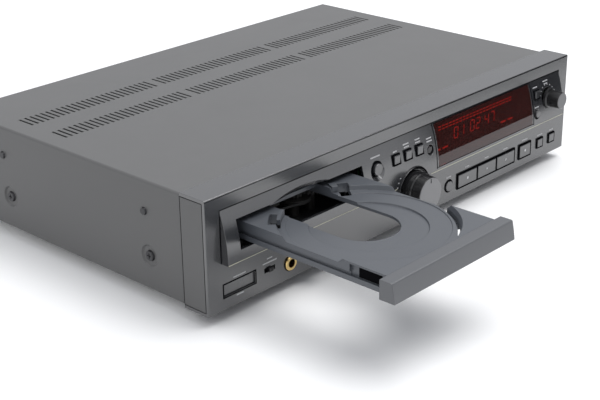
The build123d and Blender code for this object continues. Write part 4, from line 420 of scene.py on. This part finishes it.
finishes = [
    (cover_paint, ("top_cover", "side_caps")),
    (panel_plastic, ("front_panel",)),
    (fascia_plastic, ("control_fascia", "knob_collar")),
    (bezel_plastic, ("tray_bezel",)),
    (tray_plastic, ("tray",)),
    (key_plastic, ("eject_key", "upper_key_1", "upper_key_2", "upper_key_3", "menu_key",
                   "clear_key", "round_key", "stop_key", "play_key", "pause_key", "record_key",
                   "skip_back_key", "skip_forward_key", "power_key")),
    (knob_black, ("level_knob_outer", "level_knob_inner", "phones_knob", "timer_slider")),
    (jog_black, ("jog_dial", "jog_shaft")),
    (sensor_dark, ("sensor_dome",)),
    (gold_plate, ("headphone_socket",)),
    (zinc_sheet, ("chassis_pan", "drive_cover", "drive_brackets", "clamp_bridge",
                  "traverse_frame")),
    (bright_steel, ("guide_rods", "lead_screw")),
    (screw_black, ("cover_screws", "small_screws")),
    (foot_black, ("feet",)),
    (rear_paint, ("rear_panel",)),
    (jack_black, ("rear_jacks",)),
    (inlet_black, ("mains_inlet",)),
    (pickup_black, ("turntable", "clamper", "pickup_sled")),
    (loader_black, ("loader_frame",)),
    (gear_dark, ("drive_gear", "belt_pulley")),
    (gear_white, ("motor_pulley", "cam_slider")),
    (motor_can, ("loading_motor", "spindle_motor", "sled_motor")),
    (belt_rubber, ("drive_belt",)),
    (lens_glass, ("objective_lens",)),
    (window_tint, ("display_window",)),
    (display_glass, ("display_module",)),
    (board_green, ("front_board",)),
    (main_board_green, ("main_board",)),
    (power_board_green, ("power_board",)),
]


def dress_nodes():
    """Every CAD node gets its finish."""
    for material, names in finishes:
        for name in names:
            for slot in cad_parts[name].material_slots:
                slot.material = material


# Pieces

def make_object(name, shape, material):
    """Makes an object from a bmesh and puts it into the scene."""
    mesh = bpy.data.meshes.new(name)
    shape.to_mesh(mesh)
    shape.free()
    mesh.materials.append(material)
    made = bpy.data.objects.new(name, mesh)
    bpy.context.scene.collection.objects.link(made)
    return made


def add_piece(name, shape, material, body):
    """Makes a piece with its normals outwards, and lets it ride on a body."""
    bmesh.ops.recalc_face_normals(shape, faces=shape.faces)
    piece = make_object(name, shape, material)
    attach(piece, body)


def add_block(shape, centre, size, lean=0.0):
    """A block in a bmesh, leaning back about X."""
    place = (Matrix.Translation(centre) @ Matrix.Rotation(-lean, 4, "X")
             @ Matrix.Diagonal((*size, 1.0)))
    bmesh.ops.create_cube(shape, size=1.0, matrix=place)


def add_front_block(shape, x, height, size, curved, proud=0.0):
    """A block on the front, which leans with the fascia where that is curved."""
    if curved:
        add_block(shape, on_fascia(x, height, proud), size, fascia_lean(height))
    else:
        add_block(shape, on_panel(x, height, proud), size)


ring_steps = 48


def add_ring(shape, centre, inner, outer, thickness):
    """A flat ring that faces the front."""
    x, y, z = centre
    corners = [shape.verts.new(place) for place in ((x + inner, y - thickness / 2, z),
                                                    (x + outer, y - thickness / 2, z),
                                                    (x + outer, y + thickness / 2, z),
                                                    (x + inner, y + thickness / 2, z))]
    edges = [shape.edges.new((corners[index - 1], corners[index])) for index in range(4)]
    bmesh.ops.spin(shape, geom=[*corners, *edges], cent=centre, axis=(0, 1, 0),
                   angle=2 * math.pi, steps=ring_steps, use_merge=True)


# Printing: rows of dashes where the real one has words
print_thickness = 0.06 * MM
letter_pitch = 1.0 * MM
letter_gap = 0.3 * MM
word_height = 1.0 * MM

# Words over the controls: x, height and width, with a row for each line of a word
fascia_words = [(-46.3, 67.4, 11.0), (-24.1, 65.2, 4.5), (-10.1, 67.4, 7.0), (-10.1, 65.2, 6.0),
                (3.9, 67.4, 6.0), (3.9, 65.2, 6.0), (17.2, 64.6, 6.5), (17.2, 62.4, 6.5),
                (165.6, 68.6, 6.5), (164.1, 52.2, 6.0), (181.8, 70.6, 7.5), (181.8, 68.4, 5.5)]
panel_words = [(49.2, 21.6, 6.0), (74.0, 23.6, 5.5), (101.0, 23.6, 5.0), (128.0, 23.6, 6.5),
               (157.0, 23.6, 8.5), (180.2, 21.6, 8.0), (198.2, 21.6, 6.0), (-187.5, 22.0, 12.0),
               (-187.5, 7.6, 7.0), (-158.0, 24.0, 5.5), (-158.0, 21.0, 14.0),
               (-118.0, 21.0, 9.0), (-30.0, 22.0, 8.0), (-30.0, 19.8, 7.0)]
# Words on the back: x, z and width
rear_words = [(-142.0, 56.5, 20.0), (-104.0, 56.5, 20.0), (-64.0, 56.5, 9.0), (-34.0, 56.5, 9.0),
              (-14.0, 56.5, 9.0), (165.0, 68.0, 12.0), (-142.0, 22.0, 14.0), (-104.0, 22.0, 14.0)]


def split_word(x, width):
    """Middles of the dashes of a word, and their size. All sizes are in metres."""
    count = max(1, round(width / letter_pitch))
    middles = [x + (index - (count - 1) / 2) * width / count for index in range(count)]
    return middles, (width / count - letter_gap, print_thickness, word_height)


def make_printing():
    """The rows of dashes over the controls."""
    for name, words, curved in (("fascia_printing", fascia_words, True),
                                ("panel_printing", panel_words, False)):
        shape = bmesh.new()
        for x, height, width in words:
            middles, size = split_word(x * MM, width * MM)
            for middle in middles:
                add_front_block(shape, middle, height * MM, size, curved)
        add_piece(name, shape, print_white, "cabinet")


def make_rear_printing():
    """Rows of dashes over the sockets on the back."""
    shape = bmesh.new()
    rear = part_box("rear_panel")[1][1] + print_thickness / 2
    for x, z, width in rear_words:
        middles, size = split_word(x * MM, width * MM)
        for middle in middles:
            add_block(shape, (middle, rear, z * MM), size)
    add_piece("rear_printing", shape, print_white, "cabinet")


# Marks on the large keys
symbol_size = 1.9 * MM
symbol_radius = 0.6 * symbol_size


def make_key_symbols():
    """Stop, play, pause and record marks on their keys."""
    for name in ("stop_key", "play_key", "pause_key", "record_key"):
        low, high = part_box(name)
        middle = (Vector(low) + Vector(high)) / 2
        front = low[1] - print_thickness / 2
        shape = bmesh.new()
        if name == "stop_key":
            add_block(shape, (middle.x, front, middle.z),
                      (symbol_size, print_thickness, symbol_size))
        elif name == "pause_key":
            for side in (-1, 1):
                add_block(shape, (middle.x + side * symbol_size / 3, front, middle.z),
                          (symbol_size / 4, print_thickness, symbol_size))
        else:
            sides, spin = (3, -math.pi / 2) if name == "play_key" else (24, 0.0)
            turn = Matrix.Rotation(math.pi / 2, 4, "X") @ Matrix.Rotation(spin, 4, "Z")
            bmesh.ops.create_cone(shape, cap_ends=True, segments=sides, radius1=symbol_radius,
                                  radius2=symbol_radius, depth=print_thickness,
                                  matrix=Matrix.Translation((middle.x, front, middle.z)) @ turn)
        add_piece(name + "_symbol", shape, print_white, name)


# Ticks left of the level knob, and dots round the jog dial
tick_size = (1.3 * MM, print_thickness, 0.7 * MM)
tick_radius = 22.0
tick_turns = range(140, 251, 10)
panel_tick_top = 34.5 * MM
fascia_tick_low = 36.5 * MM
dot_size = (0.8 * MM, print_thickness, 0.8 * MM)
dot_radius = 11.0
dot_turns = range(20, 161, 20)


def make_scale_ticks():
    """Scales of the level knob and the jog dial, left out where the fascia's lip lies."""
    curved, flat = bmesh.new(), bmesh.new()
    for turn in tick_turns:
        x, height = on_circle(level_knob_middle, tick_radius, turn)
        if height > fascia_tick_low:
            add_front_block(curved, x, height, tick_size, True)
        elif height < panel_tick_top:
            add_front_block(flat, x, height, tick_size, False)
    for turn in dot_turns:
        x, height = on_circle(jog_middle, dot_radius, turn)
        add_front_block(curved, x, height, dot_size, True)
    add_piece("fascia_ticks", curved, print_white, "cabinet")
    add_piece("panel_ticks", flat, print_white, "cabinet")


# Gap lines: painted shade in the gaps and steps of the front. Frames round openings: middle (x and
# height), half width, half height, line, how proud
line_proud = 0.2 * MM
panel_frames = [((100.9, 14.1), 39.6, 5.5, 1.2, 1.0), ((157.0, 14.1), 7.8, 5.5, 1.2, 1.0),
                ((180.2, 14.5), 3.7, 3.7, 0.9, 1.0), ((198.2, 14.5), 3.7, 3.7, 0.9, 1.0),
                ((-187.5, 14.6), 15.2, 4.6, 0.9, 0.2)]
fascia_frames = [((-24.1, 59.4), 3.65, 3.65, 0.7, 1.0), ((-10.1, 59.4), 3.65, 3.65, 0.7, 1.0),
                 ((3.9, 59.4), 3.65, 3.65, 0.7, 1.0), ((166.0, 62.6), 3.35, 3.35, 0.6, 1.0)]
# Bars of painted shade between the three wide keys
key_bars = (87.35, 114.45)
key_bar_height = 14.1 * MM
key_bar_size = (1.8 * MM, 2.0 * MM, 11.0 * MM)
# Rings of painted shade about round openings: x, y and z in the frame of the model, inner and outer
# radius
gap_rings = [((-4.5, -149.35, 38.5), 17.2, 18.5), ((49.2, -142.0, 23.0), 4.5, 5.5),
             ((-118.0, -142.0, 21.7), 5.2, 5.9), ((-137.2, -142.0, 21.7), 5.7, 6.3)]
# The dish round the eject key, whose dark ring of painted shade lies under the fascia's surface
dish_depth = 0.9 * MM
dish_inner, dish_outer = 4.75 * MM, 6.4 * MM
dish_thickness = 0.15 * MM
# Painted shade lines round the fascia, under the panel's top edge, round the window and round the
# side caps
edge_line = 0.6 * MM
top_line = 0.4 * MM
top_line_drop = 1.0 * MM
window_low, window_top = 38.9 * MM, 73.4 * MM
window_level_line = 0.5 * MM
window_side_line = 0.7 * MM
window_side_gap = 0.45 * MM
window_overhang = 0.8 * MM
window_steps = 8
window_step_length = 4.6 * MM


def add_frame(shape, middle, half_width, half_height, line, proud, curved):
    """Four dark bars of painted shade round an opening."""
    x, height = middle
    for side in (-1, 1):
        add_front_block(shape, x * MM, (height + side * (half_height + line / 2)) * MM,
                        ((2 * half_width + 2 * line) * MM, proud * MM, line * MM),
                        curved, proud * MM / 2)
        add_front_block(shape, (x + side * (half_width + line / 2)) * MM, height * MM,
                        (line * MM, proud * MM, 2 * half_height * MM), curved, proud * MM / 2)


def make_gap_shade_lines():
    """Dark lines of painted shade in the gaps, steps and recesses of the front: round the fascia,
    under the panel's top edge, round the window, the keys and the round openings, and in the eject
    key's dish.
    """
    shape = bmesh.new()
    edge = fascia_half + edge_line / 2
    add_block(shape, on_panel(0.0, fascia_high + edge_line / 2), (2 * edge, line_proud, edge_line))
    for side in (-1, 1):
        add_block(shape, on_panel(side * edge, (fascia_low + fascia_high) / 2),
                  (edge_line, line_proud, fascia_high - fascia_low))
    add_block(shape, on_panel(0.0, panel_rise - top_line_drop),
              (2 * panel_half, line_proud, top_line))
    for frames, curved in ((panel_frames, False), (fascia_frames, True)):
        for sizes in frames:
            add_frame(shape, *sizes, curved)
    for x in key_bars:
        add_block(shape, on_panel(x * MM, key_bar_height), key_bar_size)
    low, high = (Vector(corner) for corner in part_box("display_window"))
    window_rise = low.z - base_z
    step_rise = (window_top - window_rise) / window_steps
    for x in (low.x - window_side_gap, high.x + window_side_gap):
        for step in range(window_steps):
            add_front_block(shape, x, window_rise + (step + 0.5) * step_rise,
                            (window_side_line, line_proud, window_step_length), True)
    for height in (window_low, window_top):
        add_front_block(shape, (low.x + high.x) / 2, height,
                        (high.x - low.x + 2 * window_overhang, line_proud, window_level_line), True)
    for centre, inner, outer in gap_rings:
        add_ring(shape, Vector(centre) * MM, inner * MM, outer * MM, line_proud)
    dish = on_fascia(eject_middle[0] * MM, eject_middle[1] * MM, -dish_depth)
    add_ring(shape, dish, dish_inner, dish_outer, dish_thickness)
    add_piece("gap_shade_lines", shape, shade_paint, "cabinet")


def make_side_gap_shade_lines():
    """Dark lines of painted shade in the gaps round the caps at the front panel's two ends."""
    shape = bmesh.new()
    low, high = (Vector(corner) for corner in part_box("side_caps"))
    middle = (low + high) / 2
    for side in (-1, 1):
        x = side * (panel_half - line_proud / 4)
        for y in (low.y, high.y):
            add_block(shape, (x, y, middle.z), (line_proud / 2, edge_line, high.z - low.z))
        for z in (low.z, high.z):
            add_block(shape, (x, middle.y, z), (line_proud / 2, high.y - low.y, edge_line))
    add_piece("side_gap_shade_lines", shape, shade_paint, "cabinet")


# The pocket's back wall, painted dark as shade in the tray's side pocket: place right of and behind
# the tray's corner, height and size
pocket_place = (2.15 * MM, 16.5 * MM)
pocket_height = 55.3 * MM
pocket_size = (0.1 * MM, 26.6 * MM, 7.9 * MM)


def make_pocket_shade():
    """A dark sheet of painted shade on the back wall of the pocket at the tray's left."""
    shape = bmesh.new()
    low = Vector(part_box("tray")[0])
    add_block(shape, (low.x + pocket_place[0], low.y + pocket_place[1], base_z + pocket_height),
              pocket_size)
    add_piece("pocket_shade", shape, shade_paint, "tray")


# The painted highlight on the fascia's lip: a thin light line
lip_rise = 0.45 * MM
lip_highlight_line = 0.5 * MM
lip_collar_gap = 0.5 * MM
lip_end_gap = 2.0 * MM


def make_lip_highlight_line():
    """A thin light line along the fascia's lower edge, a painted highlight of the lip's rounded
    edge, broken by the knob's collar.
    """
    shape = bmesh.new()
    collar_left, collar_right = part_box("knob_collar")[0][0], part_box("knob_collar")[1][0]
    fascia_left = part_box("control_fascia")[0][0] + lip_end_gap
    fascia_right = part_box("control_fascia")[1][0] - lip_end_gap
    for left, right in ((fascia_left, collar_left - lip_collar_gap),
                        (collar_right + lip_collar_gap, fascia_right)):
        add_block(shape, on_fascia((left + right) / 2, fascia_low + lip_rise),
                  (right - left, 2 * print_thickness, lip_highlight_line))
    add_piece("lip_highlight_line", shape, lip_highlight_paint, "cabinet")


# Display: figures with their x, bars of the level scale over them and short marks below them
digit_height = 9.0 * MM
digit_width = 5.0 * MM
digit_rise = 1.0 * MM
segment_width = 0.9 * MM
lit_segments = {"0": "abcdef", "1": "bc", "2": "abged", "4": "fgbc", "7": "abc"}
figures = [("0", 62.0), ("1", 70.0), ("0", 84.0), ("2", 92.0), ("4", 104.0), ("7", 112.0)]
scale_rises = (9.0, 11.4)
scale_left = 40.0 * MM
scale_pitch = 4.6 * MM
scale_bars = 22
scale_bar = (3.2 * MM, print_thickness, 1.0 * MM)
mark_places = (38.0, 48.0, 128.0, 138.0)
mark_drop = 7.5 * MM
mark_bar = (7.0 * MM, print_thickness, 1.4 * MM)


def add_digit(shape, digit, centre):
    """One seven-segment digit as thin blocks on the display's glass."""
    half = digit_height / 2
    wide = digit_width / 2
    bars = {"a": (0, half, True), "g": (0, 0, True), "d": (0, -half, True),
            "f": (-wide, half / 2, False), "b": (wide, half / 2, False),
            "e": (-wide, -half / 2, False), "c": (wide, -half / 2, False)}
    for letter in lit_segments[digit]:
        x, z, level = bars[letter]
        size = ((digit_width - segment_width, print_thickness, segment_width) if level
                else (segment_width, print_thickness, half - segment_width))
        add_block(shape, centre + Vector((x, 0, z)), size)


def make_display():
    """Lit figures and a level scale on the display's glass, behind the window."""
    low, high = (Vector(corner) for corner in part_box("display_module"))
    front = low.y - print_thickness
    middle = (low.z + high.z) / 2
    shape = bmesh.new()
    for digit, x in figures:
        add_digit(shape, digit, Vector((x * MM, front, middle + digit_rise)))
    for rise in scale_rises:
        for index in range(scale_bars):
            add_block(shape, (scale_left + index * scale_pitch, front, middle + rise * MM),
                      scale_bar)
    for x in mark_places:
        add_block(shape, (x * MM, front, middle - mark_drop), mark_bar)
    add_piece("display_segments", shape, glow_red, "cabinet")


# Studio
floor_size = 8.0
floor_white = (0.84, 0.84, 0.84, 1.0)
floor_seen = (1.0, 1.0, 1.0, 1.0)
card_place = (1.70, -0.31, 0.40)
card_stretch = (3.0, 0.8, 1.0, 1.0)
world_seen = (0.86, 0.87, 0.90, 1.0)
world_colour = (0.93, 0.95, 1.0, 1.0)
world_light = 0.55


def add_seen(tree):
    """1 where the camera sees a surface, by itself, in gloss or through glass, and 0 as a light."""
    path = tree.nodes.new("ShaderNodeLightPath").outputs
    direct = add_math(tree, "MAXIMUM", path["Is Camera Ray"], path["Is Glossy Ray"])
    return add_math(tree, "MAXIMUM", direct, path["Is Transmission Ray"])


def make_floor_material():
    """White cloth: white where it is seen, and a plain pale colour as a light."""
    material = bpy.data.materials.new("floor cloth")
    material.use_nodes = True
    tree = material.node_tree
    tree.nodes.remove(tree.nodes["Principled BSDF"])
    cloth = tree.nodes.new("ShaderNodeBsdfDiffuse")
    set_input(tree, cloth.inputs["Color"], add_mix(tree, add_seen(tree), floor_white, floor_seen))
    set_input(tree, tree.nodes["Material Output"].inputs["Surface"], cloth.outputs["BSDF"])
    return material


def make_floor():
    """A wide pale floor."""
    shape = bmesh.new()
    bmesh.ops.create_grid(shape, x_segments=2, y_segments=2, size=floor_size / 2)
    floor = make_object("floor", shape, make_floor_material())


def make_card():
    """A dark upright card right of the tray, which shows only in gloss, mostly the window's."""
    shape = bmesh.new()
    upright = Matrix.Rotation(math.pi / 2, 4, "X") @ Matrix.Diagonal(card_stretch)
    bmesh.ops.create_grid(shape, x_segments=1, y_segments=1, size=0.5,
                          matrix=Matrix.Translation(card_place) @ upright)
    card = make_object("dark_card", shape, surface("card black", (0.02, 0.02, 0.02), 0.9))
    card.visible_camera = False
    card.visible_diffuse = False
    card.visible_shadow = False
    card.visible_transmission = False


def add_lamp(name, place, target, width, height, power):
    """A soft box that looks at a target."""
    data = bpy.data.lights.new(name, "AREA")
    data.shape = "RECTANGLE"
    data.size = width
    data.size_y = height
    data.energy = power
    lamp = bpy.data.objects.new(name, data)
    lamp.location = place
    lamp.rotation_euler = (Vector(target) - Vector(place)).to_track_quat("-Z", "Y").to_euler()
    bpy.context.scene.collection.objects.link(lamp)


def make_world():
    """A pale surround: pale where it is seen, dimmer as a light."""
    world = bpy.data.worlds.new("studio")
    bpy.context.scene.world = world
    world.use_nodes = True
    tree = world.node_tree
    shown, lit = tree.nodes["Background"], tree.nodes.new("ShaderNodeBackground")
    for background, colour, strength in ((shown, world_seen, 1.0),
                                         (lit, world_colour, world_light)):
        background.inputs["Color"].default_value = colour
        background.inputs["Strength"].default_value = strength
    mixed = tree.nodes.new("ShaderNodeMixShader")
    for socket, value in zip(mixed.inputs, (add_seen(tree), lit.outputs[0], shown.outputs[0])):
        set_input(tree, socket, value)
    set_input(tree, tree.nodes["World Output"].inputs["Surface"], mixed.outputs[0])


def make_lights():
    """A big soft box overhead, in front and to the right, and a weaker one at the left."""
    add_lamp("key", (0.5, -0.5, 2.0), (0.0, -0.1, 0.0), width=2.0, height=1.6, power=38.0)
    add_lamp("fill", (-1.6, 0.4, 1.5), (0.0, 0.0, 0.05), width=1.4, height=1.4, power=8.0)
    make_world()
    bpy.context.scene.view_settings.view_transform = "Standard"


make_camera()
dress_nodes()
make_printing()
make_key_symbols()
make_gap_shade_lines()
make_side_gap_shade_lines()
make_pocket_shade()
make_lip_highlight_line()
make_scale_ticks()
make_rear_printing()
make_display()
make_floor()
make_card()
make_lights()
